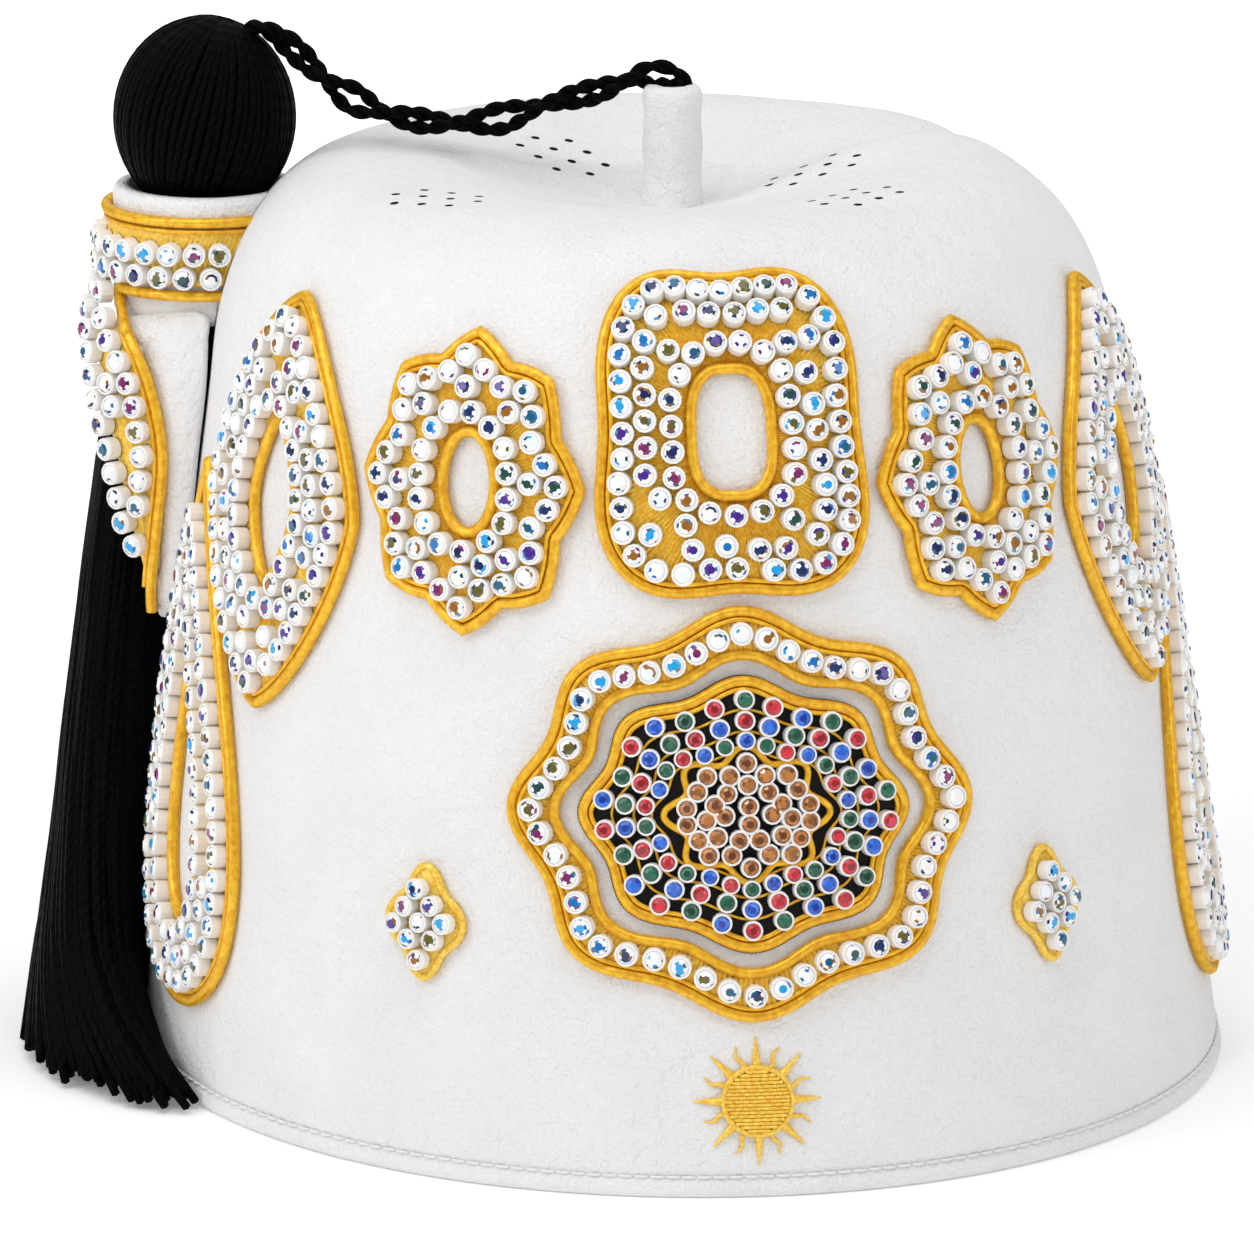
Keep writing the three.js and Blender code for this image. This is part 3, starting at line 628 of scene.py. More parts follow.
# Stem
# A short post in the middle of the top, covered in the same felt, with a soft round top. The cord
# comes out through a small hole in it, and a seam runs down the back.
STEM_RADIUS = 4.8
STEM_X = -1.5
stem_foot = CROWN_HEIGHT - DISH_DEPTH
stem_section = [(0.0, -0.6), (STEM_RADIUS + 0.1, -0.6)]
stem_section += [(STEM_RADIUS + 0.1 * math.cos(i), mix(0, 18.1, i / 12)) for i in range(13)]
stem_section += [(4.7, 18.7), (4.35, 19.25), (3.7, 19.58), (2.7, 19.6), (1.9, 19.4), (1.4, 18.8)]
stem_section += [(1.0, 17.5), (0.0, 17.2)]
stem_shape = bmesh.new()
stem_steps = 48
bmesh.ops.create_grid(stem_shape, x_segments=stem_steps, y_segments=len(stem_section) - 1, size=0.5)
for vert in stem_shape.verts:
    angle = math.tau * (round((vert.co.x + 0.5) * stem_steps) % stem_steps) / stem_steps
    radius, z = stem_section[round((vert.co.y + 0.5) * (len(stem_section) - 1))]
    seam = 0.3 * math.exp(-(((angle - 1.4) / 0.09) ** 2)) if 1.5 < z < 18 else 0
    dents = 0.12 * noise.noise(Vector((3 * math.cos(angle), 3 * math.sin(angle), z / 3.5)))
    radius = max(radius - seam + (dents if radius > 1 else 0), 0)
    x = STEM_X + rim_middle + radius * math.cos(angle)
    vert.co = Vector((x, radius * math.sin(angle), stem_foot + z)) * MM
bmesh.ops.remove_doubles(stem_shape, verts=stem_shape.verts, dist=1e-7)
finish_piece(stem_shape, "felt_stem", [white_felt], ["stem"])

# Jewelled motifs
# Each motif is a pad of gold satin stitch over a felt card, edged with gold bullion cord outside
# and round its eye, and set with foiled crystals in white cups, sewn on in rows.
STONE_WIDTH = 3.85
CUP_RADIUS = 1.88
CUP_HEIGHT = 2.1
CORD_RADIUS = 0.98
INNER_CORD_RADIUS = 0.42
PAD_LIFT = 1.15
CUP_LIFT = 1.35
RIB_STEP = 0.23
CORD_RIBS = 0.15
SATIN_THREAD = 0.9


def outline_points_of(curve, step):
    """Evenly spaced points of a closed curve, given as a function of a turn."""
    dense = [curve(math.tau * i / 720) for i in range(720)]
    return respaced(dense, step)


def respaced(points, step, least=False):
    """A closed line of points, spaced evenly: about a step apart, or never less than it."""
    runs = [0.0]
    for a, b in zip(points, points[1:] + points[:1]):
        runs.append(runs[-1] + (b - a).length)
    count = max(round(runs[-1] / step), 4)
    count = int(runs[-1] / step) if least else count + count % 2
    spaced = []
    i = 0
    for k in range(count):
        run = runs[-1] * k / count
        while runs[i + 1] < run:
            i += 1
        t = (run - runs[i]) / max(runs[i + 1] - runs[i], 1e-9)
        spaced.append(points[i].lerp(points[(i + 1) % len(points)], t))
    return spaced


def turning_sense(line):
    """1 where a closed line runs anticlockwise, or else -1."""
    area = sum(a.x * b.y - b.x * a.y for a, b in zip(line, line[1:] + line[:1]))
    return 1 if area > 0 else -1


def depth_in(line):
    """A function that gives how deep a spot lies inside a closed line, negative outside it."""
    sense = turning_sense(line)
    tree = KDTree(len(line))
    for i, point in enumerate(line):
        tree.insert(point.to_3d(), i)
    tree.balance()

    def depth(spot):
        near, i, distance = tree.find(spot.to_3d())
        along = line[(i + 1) % len(line)] - line[i - 1]
        inward = Vector((-along.y, along.x)) * sense
        return math.copysign(distance, (spot - near.to_2d()).dot(inward))

    return depth


def inset(line, distance):
    """The closed line that lies a distance inside, or outside where it is negative."""
    sense = turning_sense(line)
    depth = depth_in(line)
    moved = []
    for i, point in enumerate(line):
        along = (line[(i + 1) % len(line)] - line[i - 1]).normalized()
        spot = point + Vector((-along.y, along.x)) * sense * distance
        if abs(depth(spot)) > abs(distance) - 0.1:
            moved.append(spot)
    return moved


def stone_spots(outer, eye, outer_edge, eye_edge=0.0, pitch=STONE_WIDTH):
    """Where the stones go: each as near to the outline as the ones before it allow, so that rows
    follow the outline inwards. Then they push each other a little apart, to even out the gaps, and
    more stones go where that leaves room."""
    grid_step = 0.32
    row_width = 0.55
    least = (0.965 * pitch) ** 2
    wanted = 1.03 * pitch
    depth_outer = depth_in(outer)
    depth_eye = depth_in(eye) if eye else None
    low = Vector((min(point.x for point in outer), min(point.y for point in outer)))
    high = Vector((max(point.x for point in outer), max(point.y for point in outer)))
    middle = (low + high) / 2

    def room(spot):
        space = depth_outer(spot) - outer_edge - pitch / 2
        if eye:
            space = min(space, -depth_eye(spot) - eye_edge - pitch / 2)
        return space

    candidates = []
    for i in range(int((high.x - low.x) / grid_step) + 1):
        for j in range(int((high.y - low.y) / grid_step) + 1):
            spot = Vector((low.x + i * grid_step, low.y + j * grid_step))
            space = room(spot)
            if space > -0.1:
                around = math.atan2(spot.x - middle.x, spot.y - middle.y)
                candidates.append((round(space / row_width), around, spot))
    candidates.sort(key=lambda item: item[:2])
    spots = []
    for _ in range(3):
        free = candidates
        for spot in spots:
            free = [item for item in free if (item[2] - spot).length_squared > least]
        while free:
            nearest = free[0][2]
            spots.append(nearest)
            free = [item for item in free if (item[2] - nearest).length_squared > least]
        for _ in range(14):
            for i, spot in enumerate(spots):
                push = Vector((0, 0))
                for k, other in enumerate(spots):
                    gap = spot - other
                    if k != i and gap.length_squared < wanted**2:
                        push += gap.normalized() * (wanted - gap.length) * 0.25
                if push.length > 0 and room(spot + push) > -0.15:
                    spots[i] = spot + push
    return spots


def crown_place(azimuth, up):
    """A patch of the crown: gives the point and outward direction for a spot across and up on it."""
    width = (on_crown(azimuth + 1, up)[0] - on_crown(azimuth - 1, up)[0]).length / 2

    def lay(spot, lift):
        return on_crown(azimuth + spot.x / width, up + spot.y, lift)

    return lay


def lobed(half_width, half_height, lobes, swell, start=0.0):
    def curve(turn):
        grow = (1 + swell * math.cos(lobes * (turn - start))) / (1 + swell)
        return Vector((half_width * math.sin(turn), half_height * math.cos(turn))) * grow

    return curve


def starred(half_width, half_height, points, notch):
    def curve(turn):
        wave = abs((turn * points / math.pi) % 2 - 1)
        return Vector((half_width * math.sin(turn), half_height * math.cos(turn))) * mix(notch, 1, wave)

    return curve


def lozenge(half_width, half_height, power):
    def bow(value):
        return math.copysign(abs(value) ** (2 / power), value)

    return lambda turn: Vector((half_width * bow(math.sin(turn)), half_height * bow(math.cos(turn))))


def drop(half_width, half_height, middle, tilt):
    def curve(turn):
        belly = abs(math.sin(turn / 2)) ** 1.2
        y = middle + half_height * math.cos(turn)
        return Vector((half_width / 0.77 * math.sin(turn) * belly + tilt * y, y))

    return curve


def lay_thread(shape, laid, radius, sides, closed, ribs):
    """A round thread through points that each come with their outward direction."""
    ups = [outward for _, outward in laid]
    round_tube(shape, [point for point, _ in laid], radius, sides, closed, ups, ribs=ribs)


def lay_cord(shape, lay, line, radius, lift):
    """Bullion cord along a closed line: a wire coil, so it is ribbed crosswise."""
    laid = [lay(spot, lift) for spot in respaced(line, RIB_STEP)]
    lay_thread(shape, laid, radius, 8, True, CORD_RIBS)


def lay_satin(shape, lay, curve, eye_curve, top, edge):
    """Satin stitch across a ring, as ribs from the eye to the outline over a low crown."""
    sections = [(0, 0.1), (0, 0.7), (0.12, top + 0.1), (0.5, top + 0.3), (0.88, top + 0.1)]
    sections += [(1, 0.7), (1, 0.1), (0.5, 0.05)]
    length = sum((curve(math.tau * i / 90) - curve(math.tau * (i + 1) / 90)).length for i in range(90))
    count = 2 * round(length / SATIN_THREAD)

    def place(ring, side):
        share, lift = sections[side]
        turn = math.tau * ring / count
        spot = eye_curve(turn).lerp(curve(turn), mix(edge, 1 - edge, share))
        rib = 0.32 if ring % 2 and lift > 0.6 else 0
        return lay(spot, lift - rib)[0] * MM

    rolled_tube(shape, count, len(sections), place, True)


# Facet colours of the crystals are painted reflections: dark coloured tints for the foil and pavilion seen
# through the table, pale tints for facets that catch the room's light.
REFLECTED_FACET_TINTS = [
    (0.001, 0.01, 0.09),
    (0.0, 0.02, 0.12),
    (0.0, 0.16, 0.5),
    (0.0, 0.1, 0.2),
    (0.01, 0.35, 0.75),
    (0.004, 0.06, 0.05),
    (0.05, 0.01, 0.25),
    (0.2, 0.01, 0.12),
    (0.3, 0.11, 0.0),
    (0.12, 0.1, 0.01),
]
PALE_REFLECTION_TINTS = [
    (0.95, 0.96, 0.97),
    (0.9, 0.93, 0.97),
    (0.97, 0.94, 0.86),
    (0.95, 0.9, 0.91),
    (0.82, 0.9, 0.95),
]
CUP_WHITE = (0.9, 0.89, 0.87)
CRYSTAL_SIDES = 8


def facet_order(face):
    """Cup, then crystal, upwards and round the stone, so that each run colours them alike."""
    middle = face.calc_center_median()
    around = (math.atan2(middle.y, middle.x) + 0.1) % math.tau
    return face.material_index * 1e5 + round(middle.z, 2) * 1e3 + round(around, 2)


def make_stone_mesh():
    """One crystal in its cup: a table, eight crown facets and eight girdle facets."""
    shape = bmesh.new()
    bmesh.ops.create_cone(
        shape,
        cap_ends=False,
        segments=14,
        radius1=CUP_RADIUS,
        radius2=CUP_RADIUS,
        depth=CUP_HEIGHT,
        matrix=Matrix.Translation((0, 0, CUP_HEIGHT / 2)),
    )
    rim = [edge for edge in shape.edges if all(vert.co.z > CUP_HEIGHT - 0.01 for vert in edge.verts)]
    for radius, z in ((1.72, CUP_HEIGHT + 0.22), (1.45, CUP_HEIGHT + 0.1)):
        grown = bmesh.ops.extrude_edge_only(shape, edges=rim)["geom"]
        rim = [item for item in grown if isinstance(item, bmesh.types.BMEdge)]
        for vert in {vert for edge in rim for vert in edge.verts}:
            flat = vert.co.xy.normalized() * radius
            vert.co = Vector((flat.x, flat.y, z))
    crystal = bmesh.ops.create_circle(shape, segments=CRYSTAL_SIDES * 2, radius=1.47, cap_ends=False)
    girdle = [edge for edge in shape.edges if edge.verts[0] in crystal["verts"]]
    for vert in crystal["verts"]:
        vert.co.z = CUP_HEIGHT - 0.02
    for radius, z in ((1.15, CUP_HEIGHT + 0.36), (0.7, CUP_HEIGHT + 0.6)):
        grown = bmesh.ops.extrude_edge_only(shape, edges=girdle)["geom"]
        girdle = [item for item in grown if isinstance(item, bmesh.types.BMEdge)]
        for vert in {vert for edge in girdle for vert in edge.verts}:
            angle = math.atan2(vert.co.y, vert.co.x)
            pair = math.tau / CRYSTAL_SIDES
            angle = round(angle / pair - 0.01) * pair
            vert.co = Vector((math.cos(angle) * radius, math.sin(angle) * radius, z))
    bmesh.ops.remove_doubles(shape, verts=shape.verts, dist=0.01)
    open_edges = [edge for edge in shape.edges if edge.is_boundary]
    table = [edge for edge in open_edges if edge.verts[0].co.z > CUP_HEIGHT + 0.5]
    bmesh.ops.contextual_create(shape, geom=table)
    bmesh.ops.recalc_face_normals(shape, faces=shape.faces)
    for face in shape.faces:
        face.smooth = False
        middle = face.calc_center_median()
        on_crystal = middle.xy.length < 1.42 and middle.z > CUP_HEIGHT
        face.material_index = 1 if on_crystal else 0
    shape.faces.sort(key=facet_order)
    mesh = bpy.data.meshes.new("stone_pattern")
    shape.to_mesh(mesh)
    shape.free()
    return mesh


stone_pattern = make_stone_mesh()


def clear_painted_reflections(draw):
    """Painted reflections of one clear foiled crystal, as facet colours: a dark heart with a few
    coloured points, or a pale one with a warm fleck, and pale facets round it."""
    heart = draw.choice(REFLECTED_FACET_TINTS)
    second = draw.choice(REFLECTED_FACET_TINTS)
    dark = draw.random() < 0.78

    def pick(reach):
        if reach < 0.35:
            return heart if dark else draw.choice(PALE_REFLECTION_TINTS)
        if reach < 1.05:
            if draw.random() < (0.5 if dark else 0.25):
                return heart if draw.random() < 0.65 else second
            return draw.choice(PALE_REFLECTION_TINTS)
        return second if draw.random() < 0.08 else draw.choice(PALE_REFLECTION_TINTS)

    return pick


def single_tints(deep, bright):
    """Colours of one stone of a single hue, between its deep and its bright shade. The hue is the
    stone's own; its spread over the facets, deepest in the middle, is painted reflection.
    """

    def tints(draw):
        def pick(reach):
            t = draw.random() ** (2.2 if reach < 0.35 else 1.0)
            return tuple(mix(a, b, t) for a, b in zip(deep, bright))

        return pick

    return tints


def set_stones(shape, lay, spots, tints, draw, lift=CUP_LIFT, size=1.0):
    """Crystals on the given spots, each a little askew and with its own colours: the cup's own
    white, and facet colours on the crystal that are painted reflection.
    """
    colors = shape.loops.layers.float_color
    tint = colors.get("tint") or colors.new("tint")
    for spot in spots:
        point, outward = lay(spot, lift)
        tilt = Vector((draw.uniform(-1, 1), draw.uniform(-1, 1), draw.uniform(-1, 1))) * 0.05
        turn = (outward + tilt).to_track_quat("Z", "Y").to_matrix().to_4x4()
        spin = Matrix.Rotation(draw.uniform(0, math.tau), 4, "Z")
        before = len(shape.verts)
        faces_before = len(shape.faces)
        shape.from_mesh(stone_pattern)
        shape.verts.ensure_lookup_table()
        shape.faces.ensure_lookup_table()
        scale = Matrix.Scale(MM * size * draw.uniform(0.98, 1.02), 4)
        place = Matrix.Translation(point * MM) @ turn @ spin @ scale
        bmesh.ops.transform(shape, matrix=place, verts=shape.verts[before:])
        pick = tints(draw)
        for face in shape.faces[faces_before:]:
            from_foot = face.calc_center_median() - point * MM
            aside = (from_foot - outward * from_foot.dot(outward)).length / MM
            color = pick(aside) if face.material_index == 1 else CUP_WHITE
            for corner in face.loops:
                corner[tint] = (*color, 1)


def build_metal_thread():
    """Gilt thread: bright and dull flecks along it, as a mask and a fine normal."""
    outputs = {"Flecks": "Float", "Normal": "Vector"}
    group, enter, leave = start_group("metal_thread", {"Fleck Scale": 1500}, outputs)
    place = add_node(group, "TexCoord", {}).outputs["Object"]
    grains = {"Vector": place, "Scale": enter.outputs["Fleck Scale"], "Detail": 3}
    flecks = add_node(group, "TexNoise", grains).outputs["Fac"]
    spread = add_node(group, "MapRange", {"Value": flecks, "From Min": 0.3, "From Max": 0.7})
    bump = add_node(group, "Bump", {"Distance": 0.00012, "Strength": 0.5, "Height": flecks})
    group.links.new(spread.outputs["Result"], leave.inputs["Flecks"])
    group.links.new(bump.outputs["Normal"], leave.inputs["Normal"])
    return group


metal_thread = build_metal_thread()


def make_gold(name, dull, bright, roughness, fleck_scale, metallic):
    material, shader = make_material(name, bright, roughness, metallic=metallic)
    marks = place_group(material, metal_thread, **{"Fleck Scale": fleck_scale})
    material.node_tree.links.new(marks.outputs["Normal"], shader.inputs["Normal"])
    blend_color(material, shader, marks.outputs["Flecks"], dull, bright)
    return material


gold_cord = make_gold("gilt_bullion_cord", (0.78, 0.34, 0.004), (1.0, 0.62, 0.03), 0.28, 900, 0.3)
gold_satin = make_gold("gilt_satin_stitch", (0.85, 0.43, 0.01), (1.0, 0.76, 0.14), 0.28, 1700, 0.2)


def make_tinted(name, roughness, coat):
    """A material that takes each face's own tint."""
    material, shader = make_material(name, (1, 1, 1), roughness)
    shader.inputs["Coat Weight"].default_value = coat
    shader.inputs["Coat Roughness"].default_value = 0.04
    tint = add_node(material.node_tree, "Attribute", {}, attribute_name="tint")
    material.node_tree.links.new(tint.outputs["Color"], shader.inputs["Base Color"])
    return material


cup_material = make_tinted("pearl_white_cup", 0.35, 0.2)
crystal_material = make_tinted("foiled_crystal", 0.1, 0.35)


def finish_stones(shape, name, nodes):
    finish_piece(shape, name, [cup_material, crystal_material], nodes, smooth=False)


def edge_with_cords(shape, lay, line, sense):
    """A thick bullion cord along a line, and a thin one just inside it."""
    lay_cord(shape, lay, inset(line, sense * CORD_RADIUS), CORD_RADIUS, CORD_RADIUS + 0.15)
    lay_cord(shape, lay, inset(line, sense * (CORD_RADIUS * 2 + 0.3)), INNER_CORD_RADIUS, PAD_LIFT + 0.35)


def make_motif(name, azimuth, up, curve, eye_curve, seed, spots=None):
    """One motif. Its stones are packed between the cords, unless their spots are given."""
    draw = random.Random(seed)
    lay = crown_place(azimuth, up)
    outer = outline_points_of(curve, 0.5)
    eye = outline_points_of(eye_curve, 0.5)
    cords = bmesh.new()
    edge_with_cords(cords, lay, outer, 1)
    lay_cord(cords, lay, inset(eye, -CORD_RADIUS), CORD_RADIUS, CORD_RADIUS + 0.15)
    finish_piece(cords, f"{name}_gold_cords", [gold_cord], [])
    satin = bmesh.new()
    lay_satin(satin, lay, curve, eye_curve, PAD_LIFT, 0.05)
    finish_piece(satin, f"{name}_satin", [gold_satin], [f"{name}_pad"], smooth=False)
    stones = bmesh.new()
    spots = spots or stone_spots(outer, eye, CORD_RADIUS * 2 + 0.35, CORD_RADIUS * 2 + 0.1)
    set_stones(stones, lay, spots, clear_painted_reflections, draw)
    finish_stones(stones, f"{name}_crystals", [f"{name}_stones"])


centre = lobed(25.5, 31, 4, 0.1, math.pi / 4)
make_motif("centre_quatrefoil", 0, 121, centre, lobed(6, 10, 4, 0.06, math.pi / 4), 11)
for side, word in ((-1, "left"), (1, "right")):
    star = starred(20, 24.5, 8, 0.86)
    make_motif(f"{word}_star", 32.5 * side, 111.5, star, lobed(3.6, 7, 8, 0), 20 + side)
    long_lozenge = lozenge(22.5, 34, 1.45)
    lozenge_eye = lozenge(5.5, 12, 1.45)
    make_motif(f"{word}_lozenge", 63 * side, 102, long_lozenge, lozenge_eye, 30 + side)
    long_drop = drop(22.5, 45, 0, 0.15 * side)
    drop_eye = drop(6.5, 21, -9, 0.15 * side)
    make_motif(f"{word}_drop", 79 * side, 60, long_drop, drop_eye, 40 + side)

# Medallion
# The middle of the front: a closed lobed frame of clear stones round a black felt ground. Gold
# thread is couched on the felt, with coloured stones in rings and topaz stones in the heart.
MIDDLE_UP = 61
SMALL_STONE = 3.4
middle_lay = crown_place(0, MIDDLE_UP)
frame_curve = lobed(38, 33, 8, 0.05)
frame_row = respaced(inset(outline_points_of(frame_curve, 0.5), 4.4), 4.0, least=True)
make_motif("frame", 0, MIDDLE_UP, frame_curve, lobed(29.2, 24.2, 8, 0.06), 51, frame_row)


def ground_line(depth, half_width=26.5, half_height=22, swell=0.05):
    """The ground's outline, or a like one a distance inside it."""
    return outline_points_of(lobed(half_width - depth, half_height - depth, 8, swell), 0.5)


ground_edge = ground_line(0)
ground_sections = [(0.02, 0.25), (1, 0.25), (1, PAD_LIFT), (0.97, PAD_LIFT + 0.15)]
ground_sections += [(1 - 0.07 * i, PAD_LIFT) for i in range(1, 14)] + [(0.02, PAD_LIFT)]
ground_shape = bmesh.new()


def ground_place(ring, side):
    reach, lift = ground_sections[side]
    return middle_lay(ground_edge[ring % len(ground_edge)] * reach, lift)[0] * MM


rolled_tube(ground_shape, len(ground_edge), len(ground_sections), ground_place, True)
black_felt = make_felt("black_wool_felt", (0.006, 0.006, 0.007), (0.016, 0.015, 0.016), 0.5, 0.1)
finish_piece(ground_shape, "medallion_felt", [black_felt], ["medallion_ground"])

couching = bmesh.new()
edge_with_cords(couching, middle_lay, ground_edge, 1)
HEART = (13, 10.8, 0.12)
lay_cord(couching, middle_lay, ground_line(0, *HEART), 0.6, PAD_LIFT + 0.5)
for depth in (5.45, 8.85, 11.6):
    lay_cord(couching, middle_lay, ground_line(depth), 0.24, PAD_LIFT + 0.2)
finish_piece(couching, "medallion_gold_cords", [gold_cord], [])

HEART_TINTS = single_tints((0.12, 0.03, 0.004), (0.62, 0.24, 0.05))
PETAL_TINTS = [
    single_tints((0.0, 0.035, 0.015), (0.01, 0.16, 0.08)),
    single_tints((0.25, 0.002, 0.01), (0.75, 0.03, 0.05)),
    single_tints((0.0, 0.03, 0.32), (0.03, 0.2, 0.85)),
]
draw = random.Random(60)
heart = bmesh.new()
heart_spots = []
for depth in (2.5, 6, 9.4):
    heart_spots += respaced(ground_line(depth, *HEART), SMALL_STONE + 0.1, least=True)
set_stones(heart, middle_lay, heart_spots, HEART_TINTS, draw, size=SMALL_STONE / STONE_WIDTH)
finish_stones(heart, "topaz_crystals", ["medallion_heart_stones"])

petals = bmesh.new()
PETAL_SPOKES = 26
for row, depth in enumerate((3.75, 7.15, 10.3)):
    line = respaced(ground_line(depth), 0.2)
    for spoke in range(PETAL_SPOKES):
        spot = line[spoke * len(line) // PETAL_SPOKES]
        size = 0.86 if row < 2 else 0.78
        set_stones(petals, middle_lay, [spot], PETAL_TINTS[(spoke + row) % 3], draw, size=size)
finish_stones(petals, "petal_crystals", ["medallion_petal_stones"])

# Sunburst
# Gold thread embroidery under the frame: a disc of couched threads inside a raised ring, with
# sixteen tapering satin rays.
SUN_UP = 15.5
SUN_DISC = 5.0
sun_lay = crown_place(0, SUN_UP)
sun = bmesh.new()
sun_rows = 17
for i in range(sun_rows):
    height = mix(-SUN_DISC, SUN_DISC, (i + 0.5) / sun_rows)
    half = math.sqrt(SUN_DISC**2 - height**2)
    count = max(round(2 * half / 0.28), 4)
    laid = []
    for j in range(count + 1):
        brick = 0.12 * math.sin(math.tau * (j / 5 + 0.5 * (i % 2)))
        laid.append(sun_lay(Vector((mix(-half, half, j / count), height)), 1.0 + brick))
    lay_thread(sun, laid, 0.34, 6, False, CORD_RIBS)
ring_turns = [math.tau * i / 90 for i in range(90)]
ring_line = [Vector((math.sin(turn), math.cos(turn))) * (SUN_DISC + 0.4) for turn in ring_turns]
lay_cord(sun, sun_lay, ring_line, 0.5, 0.75)
SUN_RAYS = 16
RAY_STEPS = 16
for ray in range(SUN_RAYS):
    angle = math.tau * ray / SUN_RAYS
    out = Vector((math.sin(angle), math.cos(angle)))
    aside = Vector((out.y, -out.x))
    reach = 10.2 if ray % 2 == 0 else 9.2
    laid = []
    for j in range(RAY_STEPS + 1):
        wave = 0.3 * math.sin(math.tau * j / RAY_STEPS * 1.25) if ray % 2 else 0
        spot = out * mix(SUN_DISC + 0.5, reach, j / RAY_STEPS) + aside * wave
        laid.append(sun_lay(spot, 0.25))
    base = 0.85 if ray % 2 == 0 else 0.5
    lay_thread(sun, laid, lambda ring: mix(base, 0.12, ring / RAY_STEPS), 8, False, 0.12)
finish_piece(sun, "sun_embroidery", [gold_satin], ["sunburst"])

# Small flowers
# Two little four-lobed badges beside the frame: a gold cord edge, satin stitch and white stones.
for side, word in ((-1, "left"), (1, "right")):
    flower_lay = crown_place(36 * side, 41)
    flower_curve = lobed(7.6, 9.6, 4, 0.14)
    flower_edge = outline_points_of(flower_curve, 0.5)
    flower = bmesh.new()
    lay_cord(flower, flower_lay, inset(flower_edge, 0.7), 0.7, 0.85)
    lay_satin(flower, flower_lay, flower_curve, lambda turn: flower_curve(turn) * 0.05, PAD_LIFT, 0.04)
    finish_piece(flower, f"{word}_flower_gold", [gold_satin], [])
    stones = bmesh.new()
    flower_spots = stone_spots(flower_edge, None, 1.35, pitch=SMALL_STONE)
    draw = random.Random(70 + side)
    set_stones(stones, flower_lay, flower_spots, clear_painted_reflections, draw, size=SMALL_STONE / STONE_WIDTH)
    finish_stones(stones, f"{word}_flower_crystals", [f"{word}_small_flower"])

# Tassel ball
# A wooden ball wound with two-ply black yarn from pole to pole, so the yarns lie side by side
# round its middle and crowd together where the cord goes in.
TASSEL_AZIMUTH = -109.6
TASSEL_REACH = 80
BALL_RADIUS = 15
BALL_HALF_HEIGHT = 16.7
BALL_HEIGHT = 151
BALL_YARNS = 66
BALL_TILT = 14
YARN_RADIUS = 0.78
foot_x = TASSEL_REACH * math.sin(math.radians(TASSEL_AZIMUTH)) + rim_middle
foot_y = -TASSEL_REACH * math.cos(math.radians(TASSEL_AZIMUTH))
ball_middle = Vector((foot_x, foot_y, BALL_HEIGHT))
ball_turn = Matrix.Rotation(math.radians(BALL_TILT), 3, "Y")
draw = random.Random(80)
ball_shape = bmesh.new()
for layer, (count, sink) in enumerate(((BALL_YARNS, 0.7), (BALL_YARNS, 1.5))):
    for yarn in range(count):
        start = math.tau * (yarn + 0.5 * layer + draw.uniform(-0.12, 0.12)) / count
        drift = draw.uniform(-0.05, 0.05)
        proud = draw.uniform(-0.12, 0.12)
        radius = BALL_RADIUS - sink + proud
        half_height = BALL_HALF_HEIGHT - sink + proud
        laid = []
        for j in range(25):
            fall = mix(0.1, math.pi - 0.12, j / 24)
            angle = start + drift * math.cos(fall)
            flat = math.sin(fall)
            outward = Vector((flat * math.cos(angle), flat * math.sin(angle), math.cos(fall)))
            outward = ball_turn @ outward
            reach = Vector((outward.x * radius, outward.y * radius, outward.z * half_height))
            laid.append((ball_middle + reach, outward))
        lay_thread(ball_shape, laid, YARN_RADIUS, 6, False, 0.0)
core = bmesh.ops.create_uvsphere(ball_shape, u_segments=32, v_segments=18, radius=1)
for vert in core["verts"]:
    flat = vert.co.xy * (BALL_RADIUS - 1.9)
    at = Vector((flat.x, flat.y, vert.co.z * (BALL_HALF_HEIGHT - 1.7)))
    vert.co = (ball_middle + at) * MM
finish_piece(ball_shape, "wound_ball", [yarn_material], ["tassel_ball"])

# Tassel skirt
# A long fringe of black two-ply yarns. They leave the neck inside the holder, hang down along the
# crown, and spread at the bottom, where their cut ends are a little uneven.
SKIRT_SECTIONS = [
    {"z": 1.5, "thick": 20.4, "half": 41.5, "forward": 28.5, "hug": 0.0042},
    {"z": 8, "thick": 19.6, "half": 34, "forward": 21.5, "hug": 0.004},
    {"z": 20, "thick": 18.6, "half": 26, "forward": 12.5, "hug": 0.001},
    {"z": 34, "thick": 18, "half": 22.5, "forward": 8, "hug": -0.0006},
    {"z": 60, "thick": 18.2, "half": 19, "forward": 0, "hug": -0.0006},
    {"z": 88, "thick": 18.6, "half": 16, "forward": -4.5, "hug": -0.0006},
    {"z": 108, "thick": 18, "half": 14, "forward": -4, "hug": -0.0006},
    {"z": 118.6, "thick": 17.6, "half": 12.2, "forward": -1, "hug": -0.0006},
]
SKIRT_GAP = 0.7
NECK_RADIUS = 12.2
NECK_FOOT = 112
STRAND_RADIUS = 0.82
HOLDER_BOTTOM = 119
wall_azimuth = math.degrees(math.atan2(foot_x - rim_middle, -foot_y / OVAL))
wall_away = on_crown(wall_azimuth, NECK_FOOT)[1]
wall_away = Vector((wall_away.x, wall_away.y, 0)).normalized()


def skirt_size(z):
    """The bundle's thickness, half width, sweep forward and bend at a height."""
    keys = ("thick", "half", "forward", "hug")
    for low, high in zip(SKIRT_SECTIONS, SKIRT_SECTIONS[1:]):
        if z <= high["z"]:
            t = max((z - low["z"]) / (high["z"] - low["z"]), 0)
            return [mix(low[key], high[key], t) for key in keys]
    return [SKIRT_SECTIONS[-1][key] for key in keys]


